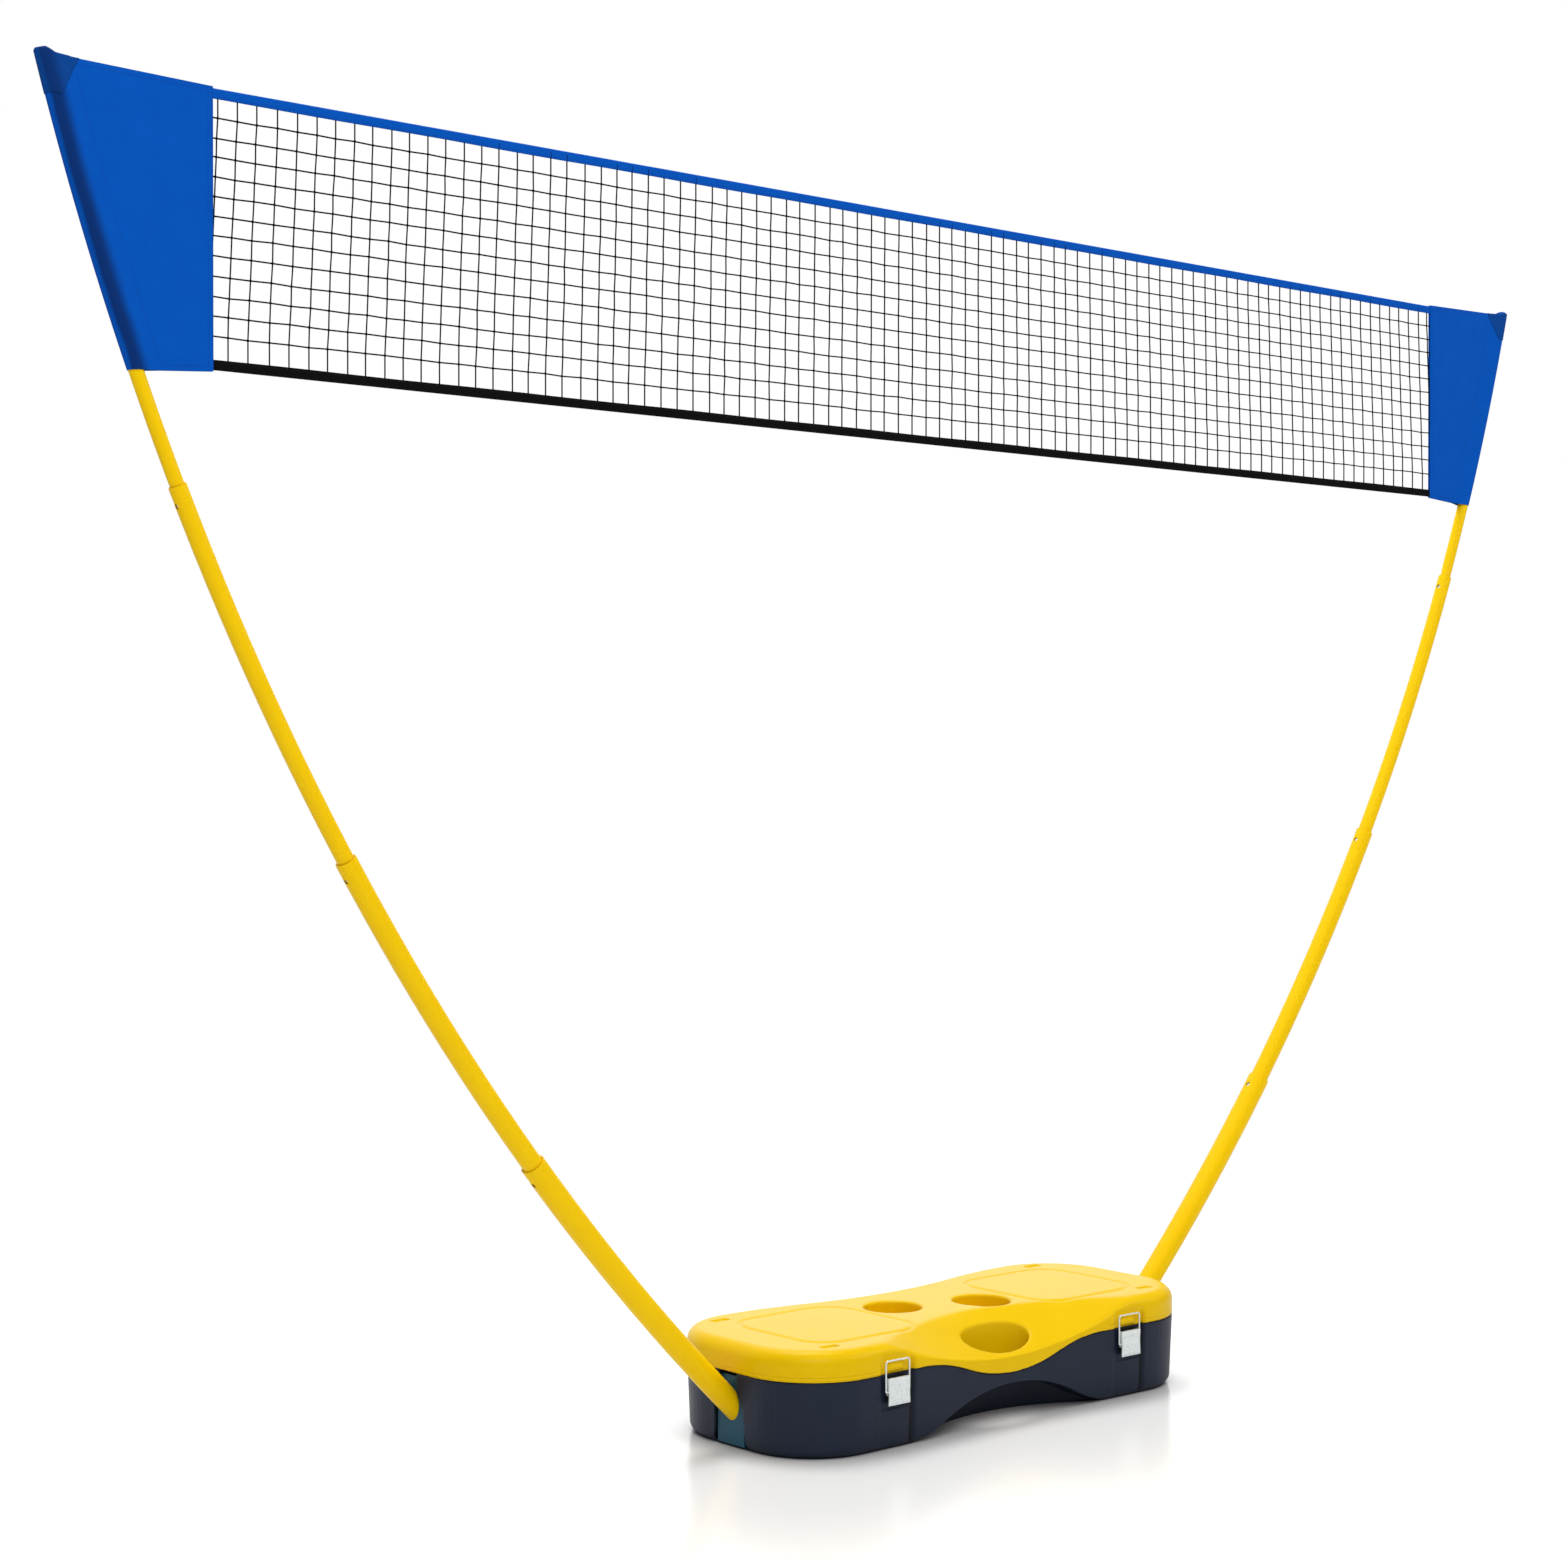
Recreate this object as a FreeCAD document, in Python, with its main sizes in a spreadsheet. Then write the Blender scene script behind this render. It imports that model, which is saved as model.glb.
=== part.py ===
import FreeCAD, Part
import math
import os
from FreeCAD import Placement, Rotation, Vector

# A portable court net held up by two curved telescopic poles that stand in a carry case.
# X runs along the net, -Y is the front, +Z is up, and the origin is on the ground under the case.

doc = FreeCAD.newDocument("PortableNet")
sheet = doc.addObject("Spreadsheet::Sheet", "Sizes")

SIZES = {
    # The curve that both poles follow
    "curve_radius": 3230,
    "wall_lean": 46.5583,
    "wall_crossing_height": 58.7796,
    "socket_depth": 58,
    "lower_reach": 431,
    "second_reach": 436,
    "third_reach": 446,
    "tip_stand": 2.071445,
    "tube_overlap": 60,
    # Pole tubes
    "lower_tube_outside": 30,
    "second_tube_outside": 25,
    "third_tube_outside": 20,
    "top_tube_outside": 16,
    "tube_wall": 1,
    "slide_clearance": 0.3,
    "seat_clearance": 0.05,
    "bush_length": 12,
    "bush_lip": 0.5,
    "bush_clearance": 0.1,
    "button_drop": 20,
    "button_diameter": 6,
    "button_hole_clearance": 0.2,
    "button_head_clearance": 0.3,
    "spring_width": 5,
    "spring_thickness": 0.5,
    "spring_length": 34,
    "spring_clearance": 0.35,
    "cap_head_height": 3,
    "cap_plug_length": 15,
    # Case
    "case_length": 720,
    "lobe_half_depth": 143,
    "back_waist": 112,
    "front_waist": 138,
    "foot_waist": 76,
    "corner_radius": 100,
    "case_height": 130,
    "seam_height": 93,
    "seam_gap": 0.4,
    "case_wall": 4,
    "floor_thickness": 3,
    "block_wall": 6,
    "foot_draft": 4,
    "foot_round": 12,
    "lid_round": 17,
    "lid_top_thickness": 8,
    "arch_height": 49,
    "arch_crown_radius": 256,
    "arch_flare_radius": 182,
    "arch_runout": 1.5,
    "dip_depth": 30,
    "dip_half_span": 165,
    "cup_offset": 60,
    "cup_middle": 2.5,
    "cup_stagger": 21,
    "cup_diameter": 76,
    "cup_depth": 45,
    "cup_wall": 2.5,
    "grip_length": 113,
    "grip_width": 48,
    "grip_setback": 104,
    "grip_clearance": 1.5,
    "ridge_setback": 55,
    "rim_height": 75,
    "mark_length": 26,
    "mark_width": 12,
    "mark_depth": 2.5,
    "mark_inset": 75,
    "mark_setback": 104,
    # Pole sockets in the end walls
    "socket_width": 50,
    "socket_length": 76,
    "socket_inset": 2,
    "socket_height": 88,
    "socket_side_gap": 1,
    "screw_diameter": 4,
    "screw_head_diameter": 7,
    "screw_head_height": 2.5,
    "screw_length": 16,
    "screw_spacing": 34,
    # Latches
    "latch_inset": 150,
    "recess_width": 50,
    "recess_depth": 3.5,
    "recess_foot": 48,
    "recess_head": 117,
    "groove_width": 5,
    "groove_offset": 29,
    "latch_pivot_height": 88,
    "latch_pivot_stand": 5.5,
    "bail_pivot_drop": 16,
    "lever_width": 36,
    "lever_foot": 56,
    "latch_metal": 1.2,
    "ear_radius": 2,
    "ear_web_foot": 4,
    "ear_web_head": 0.6,
    "latch_pin_diameter": 2,
    "pin_clearance": 0.05,
    "bail_wire": 2.2,
    "bail_height": 38,
    "bail_half_width": 19.6,
    "keeper_width": 26,
    "keeper_height": 9,
    "keeper_foot": 97,
    "rivet_head_diameter": 5,
    # Lid hinge
    "hinge_inset": 150,
    "hinge_stand": 5,
    "knuckle_diameter": 9,
    "knuckle_length": 20,
    "hinge_pin_diameter": 4,
    # Net
    "net_top": 1548.5,
    "net_foot": 1252,
    "band_height": 11,
    "band_thickness": 1.8,
    "mesh_thickness": 1.2,
    "mesh_tuck": 20,
    "mesh_cord": 3,
    "mesh_columns": 42,
    "mesh_rows": 7,
    "panel_hem": 1.5,
    "panel_foot_width": 91.5,
    "panel_thickness": 4,
    "panel_slot": 2.4,
    "sleeve_drop": 6.667447,
    "sleeve_wall": 1.2,
    "sleeve_clearance": 0.3,
    "sleeve_rise": 4,
    "pocket_reach": 75,
    "pocket_length": 60,
    "pocket_wall": 0.8,
}

for row, (alias, value) in enumerate(SIZES.items(), start=1):
    sheet.set("A%d" % row, alias)
    sheet.set("B%d" % row, str(value))
    sheet.setAlias("B%d" % row, alias)
doc.recompute()

SIDES = {"left": -1, "right": 1}
TUBE_NAMES = ("lower", "second", "third", "top")
parts = []


def size(alias):
    return float(sheet.get(alias))


def cell(expression):
    """Prefix every alias in an expression with the sheet's name."""
    words = expression.replace("(", "( ").replace(")", " )").split()
    return " ".join("Sizes." + word if word in SIZES else word for word in words)


def bind(target, **expressions):
    for name, expression in expressions.items():
        target.setExpression(name, cell(expression))


def keep(target, name):
    target.Label = name
    parts.append(target)
    return target


def solid_feature(name, shape):
    target = doc.addObject("Part::Feature", name)
    target.Shape = shape
    target.Placement = Placement()
    return keep(target, name)


def boolean(kind, name, base, tool):
    target = doc.addObject("Part::" + kind, name)
    target.Base = base
    target.Tool = tool
    return target


def block(low, high):
    return Part.makeBox(high[0] - low[0], high[1] - low[1], high[2] - low[2], Vector(*low))


def framed(origin, x_axis, z_axis):
    """The placement whose X and Z axes point along two square directions."""
    y_axis = z_axis.cross(x_axis)
    matrix = FreeCAD.Matrix(
        x_axis.x, y_axis.x, z_axis.x, origin.x,
        x_axis.y, y_axis.y, z_axis.y, origin.y,
        x_axis.z, y_axis.z, z_axis.z, origin.z,
    )
    return Placement(matrix)


# The pole curve: angles are measured at the curve's centre, downwards from the level.
# The centre follows from where and how steeply the pole crosses the case's end wall.

CURVE = size("curve_radius")
HALF_LENGTH = size("case_length") / 2
LATCH_OFFSET = HALF_LENGTH - size("latch_inset")
HINGE_OFFSET = HALF_LENGTH - size("hinge_inset")
LEAN = math.radians(size("wall_lean"))
CENTRE_OFFSET = round(CURVE * math.cos(LEAN) - HALF_LENGTH, 3)
CENTRE_HEIGHT = round(size("wall_crossing_height") + CURVE * math.sin(LEAN), 3)
WALL_ANGLE = math.degrees(math.acos((CENTRE_OFFSET + HALF_LENGTH) / CURVE))


def arc_degrees(length):
    return math.degrees(length / CURVE)


def curve_centre(side):
    return Vector(-side * CENTRE_OFFSET, 0, CENTRE_HEIGHT)


def curve_point(side, angle, radius=CURVE):
    turn = math.radians(angle)
    return curve_centre(side) + Vector(side * radius * math.cos(turn), 0, -radius * math.sin(turn))


def curve_placement(side, angle):
    """A frame at the curve's centre whose X axis points to the given angle of the pole."""
    spread = Rotation(Vector(0, 0, 1), angle)
    frame = framed(curve_centre(side), Vector(side, 0, 0), Vector(0, side, 0))
    return frame.multiply(Placement(Vector(), spread))


def station(side, angle):
    """A frame on the pole's axis: Z runs up the pole and X points out of it, towards -X."""
    turn = math.radians(angle)
    upward = Vector(side * math.sin(turn), 0, math.cos(turn))
    outward = Vector(-math.cos(turn), 0, side * math.sin(turn))
    return framed(curve_point(side, angle), outward, upward)


def pole_reach(height):
    """How far from the middle of the net the pole's axis is at one height."""
    drop = CENTRE_HEIGHT - height
    return math.sqrt(CURVE ** 2 - drop ** 2) - CENTRE_OFFSET


def angle_at(height):
    """The angle at which the pole's axis is at one height."""
    return math.degrees(math.asin((CENTRE_HEIGHT - height) / CURVE))


REACHES = [size(name + "_reach") for name in TUBE_NAMES[:3]]
TIP_ANGLE = angle_at(size("net_top") + size("tip_stand"))
MOUTHS = [WALL_ANGLE - arc_degrees(sum(REACHES[: count + 1])) for count in range(3)] + [TIP_ANGLE]
FOOTS = [WALL_ANGLE + arc_degrees(size("socket_depth"))]
FOOTS += [mouth + arc_degrees(size("tube_overlap")) for mouth in MOUTHS[:3]]
BUTTON_ANGLES = [mouth + arc_degrees(size("button_drop")) for mouth in MOUTHS[:3]]


def ring_shape(side, foot, head, inside, outside):
    """A length of curved tube between two angles of the pole curve."""
    sweep = foot - head
    body = Part.makeTorus(CURVE, outside, Vector(), Vector(0, 0, 1), -180, 180, sweep)
    if inside > 0:
        core = Part.makeTorus(CURVE, inside, Vector(), Vector(0, 0, 1), -180, 180, sweep)
        body = body.cut(core)
    body.Placement = curve_placement(side, head)
    return body


def button_bore(side, count, radius, tube_radius):
    """The round hole through one wall of a tube, on its -X side."""
    hole = Part.makeCylinder(radius, tube_radius + 2, Vector(), Vector(1, 0, 0))
    hole.Placement = station(side, BUTTON_ANGLES[count])
    return hole


# Pole tubes

def make_tube(side_name, number):
    side = SIDES[side_name]
    name = "%s_tube_%s" % (TUBE_NAMES[number], side_name)
    sweep = FOOTS[number] - MOUTHS[number]
    outside = "%s_tube_outside / 2" % TUBE_NAMES[number]
    rings = []
    for part_name, radius in (("wall", outside), ("bore", outside + " - tube_wall")):
        ring = doc.addObject("Part::Torus", "%s_%s" % (name, part_name))
        bind(ring, Radius1="curve_radius", Radius2=radius)
        ring.Angle3 = sweep
        rings.append(ring)
    tube = boolean("Cut", name + "_ring", rings[0], rings[1])
    tube.Placement = curve_placement(side, MOUTHS[number])
    holes = []
    if number > 0:
        holes.append(number - 1)
    if number < 3:
        holes.append(number)
    for hole_count in holes:
        bore = doc.addObject("Part::Cylinder", "%s_hole_%d" % (name, hole_count + 1))
        bind(bore, Radius="button_diameter / 2 + button_hole_clearance", Height=outside + " + 2")
        turned = Placement(Vector(), Rotation(Vector(0, 1, 0), 90))
        bore.Placement = station(side, BUTTON_ANGLES[hole_count]).multiply(turned)
        tube = boolean("Cut", "%s_cut_%d" % (name, hole_count + 1), tube, bore)
    keep(tube, name)


def make_bush(side_name, number):
    side = SIDES[side_name]
    name = "%s_bush_%s" % (TUBE_NAMES[number], side_name)
    head = MOUTHS[number] - arc_degrees(size("bush_lip"))
    sweep = arc_degrees(size("bush_length") + size("bush_lip"))
    outer = "%s_tube_outside / 2 - tube_wall - bush_clearance" % TUBE_NAMES[number]
    inner = "%s_tube_outside / 2 + slide_clearance" % TUBE_NAMES[number + 1]
    rings = []
    for part_name, radius in (("wall", outer), ("bore", inner)):
        ring = doc.addObject("Part::Torus", "%s_%s" % (name, part_name))
        bind(ring, Radius1="curve_radius", Radius2=radius)
        ring.Angle3 = sweep
        rings.append(ring)
    bush = boolean("Cut", name, rings[0], rings[1])
    bush.Placement = curve_placement(side, head)
    keep(bush, name)


def spring_half_width(number):
    """How far a flat strip of the spring's width can lie from the middle of a round bore."""
    bore = size(TUBE_NAMES[number] + "_tube_outside") / 2 - size("tube_wall")
    room = bore - size("spring_clearance")
    return math.sqrt(room ** 2 - (size("spring_width") / 2) ** 2)


def make_button(side_name, number):
    """A button that stands through the wall of the tube above, under the bore of the one below."""
    name = "snap_button_%s_%d" % (side_name, number)
    button = doc.addObject("Part::Cylinder", name)
    bind(button, Radius="button_diameter / 2")
    bore = TUBE_NAMES[number - 1] + "_tube_outside / 2 - tube_wall"
    seat = spring_half_width(number)
    under = "sqrt(( %s ) ^ 2 - (button_diameter / 2) ^ 2) - button_head_clearance" % bore
    bind(button, Height="%s - %.6f" % (under, seat))
    turned = Placement(Vector(seat, 0, 0), Rotation(Vector(0, 1, 0), 90))
    button.Placement = station(SIDES[side_name], BUTTON_ANGLES[number - 1]).multiply(turned)
    keep(button, name)


def make_button_spring(side_name, number):
    """A flat strip bent into a U, one leg on the bore and the other under the button."""
    name = "button_spring_%s_%d" % (side_name, number)
    reach = spring_half_width(number)
    width = size("spring_width")
    length = size("spring_length")
    thickness = size("spring_thickness")
    bend = length / 2

    def hairpin(radius, run):
        legs = block((-radius, -width / 2, -run), (radius, width / 2, bend))
        end = Part.makeCylinder(radius, width, Vector(0, -width / 2, bend), Vector(0, 1, 0))
        return legs.fuse(end)

    shape = hairpin(reach, bend).cut(hairpin(reach - thickness, bend + 1)).removeSplitter()
    shape.Placement = station(SIDES[side_name], BUTTON_ANGLES[number - 1])
    feature = doc.addObject("Part::Feature", name)
    feature.Shape = shape
    keep(feature, name)


def make_tip_cap(side_name):
    name = "pole_tip_cap_" + side_name
    plug = doc.addObject("Part::Cylinder", name + "_plug")
    bind(plug, Radius="top_tube_outside / 2 - tube_wall - seat_clearance", Height="cap_plug_length")
    plug.Placement.Base = Vector(0, 0, -size("cap_plug_length"))
    head = doc.addObject("Part::Cylinder", name + "_head")
    bind(head, Radius="top_tube_outside / 2", Height="cap_head_height")
    cap = boolean("Fuse", name, plug, head)
    cap.Placement = station(SIDES[side_name], TIP_ANGLE)
    keep(cap, name)


# Case outlines

def double_bend(start, waist):
    """Two equal tangent arcs from a lobe's corner to the waist on the middle line."""
    run = abs(start.x)
    fall = abs(start.y) - abs(waist)
    direction = 1 if start.y > 0 else -1
    radius = (run ** 2 + fall ** 2) / (4 * fall)
    meeting = Vector(start.x / 2, (start.y + direction * abs(waist)) / 2, 0)
    swing = math.asin(run / 2 / radius)
    lobe_centre = Vector(start.x, start.y - direction * radius, 0)
    waist_centre = Vector(0, direction * (abs(waist) + radius), 0)
    outward = 1 if start.x > 0 else -1
    lobe_middle = lobe_centre + Vector(
        -outward * radius * math.sin(swing / 2), direction * radius * math.cos(swing / 2), 0
    )
    waist_middle = waist_centre + Vector(
        outward * radius * math.sin(swing / 2), -direction * radius * math.cos(swing / 2), 0
    )
    end = Vector(0, direction * abs(waist), 0)
    return [Part.Arc(start, lobe_middle, meeting), Part.Arc(meeting, waist_middle, end)]


def reversed_arcs(arcs):
    turned = []
    for arc in reversed(arcs):
        shape = arc.toShape()
        middle = shape.valueAt((shape.FirstParameter + shape.LastParameter) / 2)
        first, last = [vertex.Point for vertex in shape.Vertexes]
        turned.append(Part.Arc(last, middle, first))
    return turned


def case_outline(inset, front, back, height):
    """The case seen from above, drawn in by inset, with its front and back waists."""
    half = HALF_LENGTH - inset
    depth = size("lobe_half_depth") - inset
    radius = size("corner_radius") - inset
    diagonal = radius * math.sqrt(0.5)
    flat = half - radius
    side_run = depth - radius

    def corner(sign_x, sign_y):
        centre = Vector(sign_x * flat, sign_y * side_run, 0)
        on_side = centre + Vector(sign_x * radius, 0, 0)
        middle = centre + Vector(sign_x * diagonal, sign_y * diagonal, 0)
        on_front = centre + Vector(0, sign_y * radius, 0)
        return on_side, middle, on_front

    edges = []
    side_a, middle_a, front_a = corner(-1, -1)
    side_b, middle_b, front_b = corner(1, -1)
    side_c, middle_c, back_c = corner(1, 1)
    side_d, middle_d, back_d = corner(-1, 1)
    edges.append(Part.Arc(side_a, middle_a, front_a))
    edges += double_bend(front_a, front)
    edges += reversed_arcs(double_bend(front_b, front))
    edges.append(Part.Arc(front_b, middle_b, side_b))
    edges.append(Part.LineSegment(side_b, side_c))
    edges.append(Part.Arc(side_c, middle_c, back_c))
    edges += double_bend(back_c, back)
    edges += reversed_arcs(double_bend(back_d, back))
    edges.append(Part.Arc(back_d, middle_d, side_d))
    edges.append(Part.LineSegment(side_d, side_a))
    wire = Part.Wire([edge.toShape() for edge in edges])
    wire.translate(Vector(0, 0, height))
    return wire


def prism(wire, height):
    return Part.Face(wire).extrude(Vector(0, 0, height))


def level_edges(shape, height):
    """The edges that lie flat at one height."""
    found = []
    for edge in shape.Edges:
        box = edge.BoundBox
        if abs(box.ZMin - height) < 0.01 and abs(box.ZMax - height) < 0.01:
            found.append(edge)
    return found


def grip_solid(slack, low, high):
    """The upright oval that the carrying hand goes through."""
    oval = Part.Ellipse(
        Vector(0, -size("grip_setback"), low), size("grip_length") / 2 + slack, size("grip_width") / 2 + slack
    )
    return prism(Part.Wire([oval.toShape()]), high - low)


def arch_solid():
    """The finger room under the front edge: a round crown whose two feet flare out to the ground."""
    crown = size("arch_crown_radius")
    flare = size("arch_flare_radius")
    rise = size("arch_height")
    low = -size("arch_runout")
    swing = math.acos(1 - (rise - low) / (crown + flare))
    reach = (crown + flare) * math.sin(swing)
    front = -size("lobe_half_depth") - 10

    def on_crown(turn):
        return Vector(crown * math.sin(turn), front, rise - crown * (1 - math.cos(turn)))

    def on_flare(side, turn):
        return Vector(side * (reach - flare * math.sin(turn)), front, low + flare * (1 - math.cos(turn)))

    edges = [
        Part.Arc(on_flare(-1, 0), on_flare(-1, swing / 2), on_crown(-swing)),
        Part.Arc(on_crown(-swing), on_crown(0), on_crown(swing)),
        Part.Arc(on_crown(swing), on_flare(1, swing / 2), on_flare(1, 0)),
        Part.LineSegment(on_flare(1, 0), on_flare(-1, 0)),
    ]
    face = Part.Face(Part.Wire([edge.toShape() for edge in edges]))
    room = face.extrude(Vector(0, size("lobe_half_depth") + size("foot_waist"), 0))
    ahead_of_foot = prism(case_outline(0, size("foot_waist"), size("back_waist"), low - 1), rise + 5)
    return room.cut(ahead_of_foot)


def dip_solid(clearance):
    """The stretch by which the seam dips at the front, filled by the lid."""
    run = size("dip_half_span")
    seam = size("seam_height") + clearance
    low = seam - size("dip_depth")
    front = -size("lobe_half_depth") - 10
    back = -size("foot_waist") - clearance
    radius = (run ** 2 + size("dip_depth") ** 2) / (4 * size("dip_depth"))
    swing = math.asin(run / 2 / radius)

    def at(x, z):
        return Vector(x, front, z)

    edges = []
    middle_height = (seam + low) / 2
    offset = radius * math.sin(swing / 2)
    drop = radius * (1 - math.cos(swing / 2))
    edges.append(Part.Arc(at(-run, seam), at(-run + offset, seam - drop), at(-run / 2, middle_height)))
    edges.append(Part.Arc(at(-run / 2, middle_height), at(-offset, low + drop), at(0, low)))
    edges.append(Part.Arc(at(0, low), at(offset, low + drop), at(run / 2, middle_height)))
    edges.append(Part.Arc(at(run / 2, middle_height), at(run - offset, seam - drop), at(run, seam)))
    edges.append(Part.LineSegment(at(run, seam), at(-run, seam)))
    face = Part.Face(Part.Wire([edge.toShape() for edge in edges]))
    return face.extrude(Vector(0, back - front, 0))


def latch_places():
    return (-LATCH_OFFSET, LATCH_OFFSET)


def latch_recess(place):
    """The shallow seat of one latch and the upright groove beside it."""
    front = -size("lobe_half_depth") - 5
    seat = -size("lobe_half_depth") + size("recess_depth")
    half = size("recess_width") / 2
    low = size("recess_foot")
    recess = block((place - half, front, low), (place + half, seat, size("recess_head")))
    near = place + size("groove_offset") - size("groove_width") / 2
    groove = block((near, front, -1), (near + size("groove_width"), seat, size("recess_head")))
    return recess.fuse(groove)


def hinge_line():
    return size("lobe_half_depth") + size("hinge_stand")


def knuckle(place, start, length, web_low, web_high):
    """A hinge knuckle and the web that joins it to its wall."""
    radius = size("knuckle_diameter") / 2
    height = size("seam_height") + size("seam_gap") / 2
    centre = Vector(place + start, hinge_line(), height)
    barrel = Part.makeCylinder(radius, length, centre, Vector(1, 0, 0))
    inner = size("lobe_half_depth") - size("case_wall") * 1.5
    web = block(
        (place + start, inner, height + web_low),
        (place + start + length, hinge_line(), height + web_high),
    )
    return barrel.fuse(web)


def knuckle_bore(place):
    height = size("seam_height") + size("seam_gap") / 2
    reach = 2 * (size("knuckle_length") + 2 * size("seam_gap"))
    radius = size("hinge_pin_diameter") / 2 + size("pin_clearance")
    return Part.makeCylinder(radius, reach, Vector(place - reach / 2, hinge_line(), height), Vector(1, 0, 0))


def hinge_places():
    return (-HINGE_OFFSET, HINGE_OFFSET)


# Case base

def make_case_base():
    seam = size("seam_height")
    front = size("front_waist")
    back = size("back_waist")
    draft = size("foot_draft")
    foot = case_outline(draft, front - draft, back - draft, 0)
    rim = case_outline(0, front, back, seam)
    outer = Part.makeLoft([foot, rim], True, True)
    outer = outer.makeFillet(size("foot_round"), level_edges(outer, 0))
    wall = size("case_wall")
    floor = size("floor_thickness")
    inner_front = size("foot_waist") - size("block_wall")
    inner = case_outline(wall + draft, inner_front, back - wall - draft, floor)
    shape = outer.cut(prism(inner, seam))
    shape = shape.cut(arch_solid())
    shape = shape.cut(dip_solid(0))
    shape = shape.cut(grip_solid(size("grip_clearance"), -1, seam + 1))
    half = size("socket_width") / 2 + size("socket_side_gap")
    for side in SIDES.values():
        near = side * (HALF_LENGTH + 1)
        far = side * (HALF_LENGTH - 2 * wall - draft)
        slot = block((min(near, far), -half, floor), (max(near, far), half, seam + 1))
        shape = shape.cut(slot)
    for place in latch_places():
        shape = shape.cut(latch_recess(place))
    gap = size("seam_gap")
    half_lid = size("knuckle_length") / 2
    third = size("knuckle_length") / 2
    for place in hinge_places():
        for start in (-half_lid - gap - third, half_lid + gap):
            shape = shape.fuse(knuckle(place, start, third, -8, -gap))
        clearance = knuckle(place, -half_lid - gap, 2 * (half_lid + gap), -gap, 8)
        shape = shape.cut(clearance)
        shape = shape.cut(knuckle_bore(place))
    solid_feature("case_base", shape)


# Case lid

def scoop_solid():
    """The hollow that slopes from the lid's ridge down to the front rim."""
    top = size("case_height")
    ridge = size("ridge_setback")
    rim = size("rim_height")
    edge = size("lobe_half_depth")
    rise = top - rim
    stations = (0, 0.24, 0.46, 0.64, 0.8, 0.96)
    span = edge + size("corner_radius") + 7
    sections = []
    for sign in (-1, 1):
        for share in stations:
            if sign == 1 and share == 0:
                continue
            away = share ** 1.7
            setback = ridge + (edge + 7 - ridge) * away
            height = rim + rise * min(1, share ** 2 * 1.12)
            x = sign * share * span
            low = min(height - 6, top)
            points = [
                Vector(x, -setback, top + 12),
                Vector(x, -setback, top),
                Vector(x, -edge - 20, low),
                Vector(x, -edge - 20, top + 12),
            ]
            sections.append((x, Part.makePolygon(points + points[:1])))
    sections.sort(key=lambda section: section[0])
    return Part.makeLoft([wire for _, wire in sections], True, False)


def cup_setback(sign):
    """The left cup stands behind the middle and the right one in front of it."""
    return size("cup_middle") - sign * size("cup_stagger")


def make_case_lid():
    seam = size("seam_height") + size("seam_gap")
    top = size("case_height")
    front = size("front_waist")
    back = size("back_waist")
    wall = size("case_wall")
    outline = case_outline(0, front, back, seam)
    outer = prism(outline, top - seam)
    outer = outer.makeFillet(size("lid_round"), level_edges(outer, top))
    inner_back = back - wall
    inner = prism(case_outline(wall, front - wall, inner_back, seam - 1), top - seam - size("lid_top_thickness") + 1)
    far = 2 * HALF_LENGTH
    behind = block((-far, -size("ridge_setback") + 8, 0), (far, far, top))
    end = LATCH_OFFSET + size("recess_width")
    for sign in (-1, 1):
        near = sign * (end - 5)
        away = sign * far
        behind = behind.fuse(block((min(near, away), -far, 0), (max(near, away), far, top)))
    shape = outer.cut(inner.common(behind))
    lump = dip_solid(size("seam_gap")).common(prism(case_outline(0, front, back, 0), seam + 1))
    shape = shape.fuse(lump)
    shape = shape.cut(scoop_solid())
    cup = size("cup_diameter") / 2
    cup_foot = top - size("cup_depth")
    for sign in (-1, 1):
        centre = Vector(sign * size("cup_offset"), cup_setback(sign), cup_foot - size("cup_wall"))
        well = Part.makeCylinder(cup + size("cup_wall"), top - centre.z - 2, centre)
        shape = shape.fuse(well)
    for sign in (-1, 1):
        centre = Vector(sign * size("cup_offset"), cup_setback(sign), cup_foot)
        shape = shape.cut(Part.makeCylinder(cup, size("cup_depth") + 1, centre))
    shape = shape.cut(grip_solid(0, 0, top + 1))
    for sign_x in (-1, 1):
        for sign_y in (-1, 1):
            x = sign_x * (HALF_LENGTH - size("mark_inset"))
            y = sign_y * size("mark_setback")
            length = size("mark_length") / 2
            width = size("mark_width") / 2
            mark = block((x - length, y - width, top - size("mark_depth")), (x + length, y + width, top + 1))
            mark = mark.makeFillet(2, [edge for edge in mark.Edges if edge.BoundBox.ZLength > 3])
            shape = shape.cut(mark)
    seat = -size("lobe_half_depth") + size("recess_depth")
    for place in latch_places():
        shape = shape.cut(latch_recess(place))
        half = size("keeper_width") / 2
        foot = size("keeper_foot")
        keeper = block(
            (place - half, -size("lobe_half_depth") + 0.1, foot),
            (place + half, seat + 1, foot + size("keeper_height")),
        )
        keeper = keeper.makeFillet(1.2, [edge for edge in keeper.Edges if edge.BoundBox.YMax < seat])
        shape = shape.fuse(keeper)
    gap = size("seam_gap")
    half_lid = size("knuckle_length") / 2
    third = size("knuckle_length") / 2
    for place in hinge_places():
        shape = shape.fuse(knuckle(place, -half_lid, 2 * half_lid, gap, 8))
        for start in (-half_lid - gap - third, half_lid):
            shape = shape.cut(knuckle(place, start, third + gap, -8, gap))
        shape = shape.cut(knuckle_bore(place))
    solid_feature("case_lid", shape)


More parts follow.
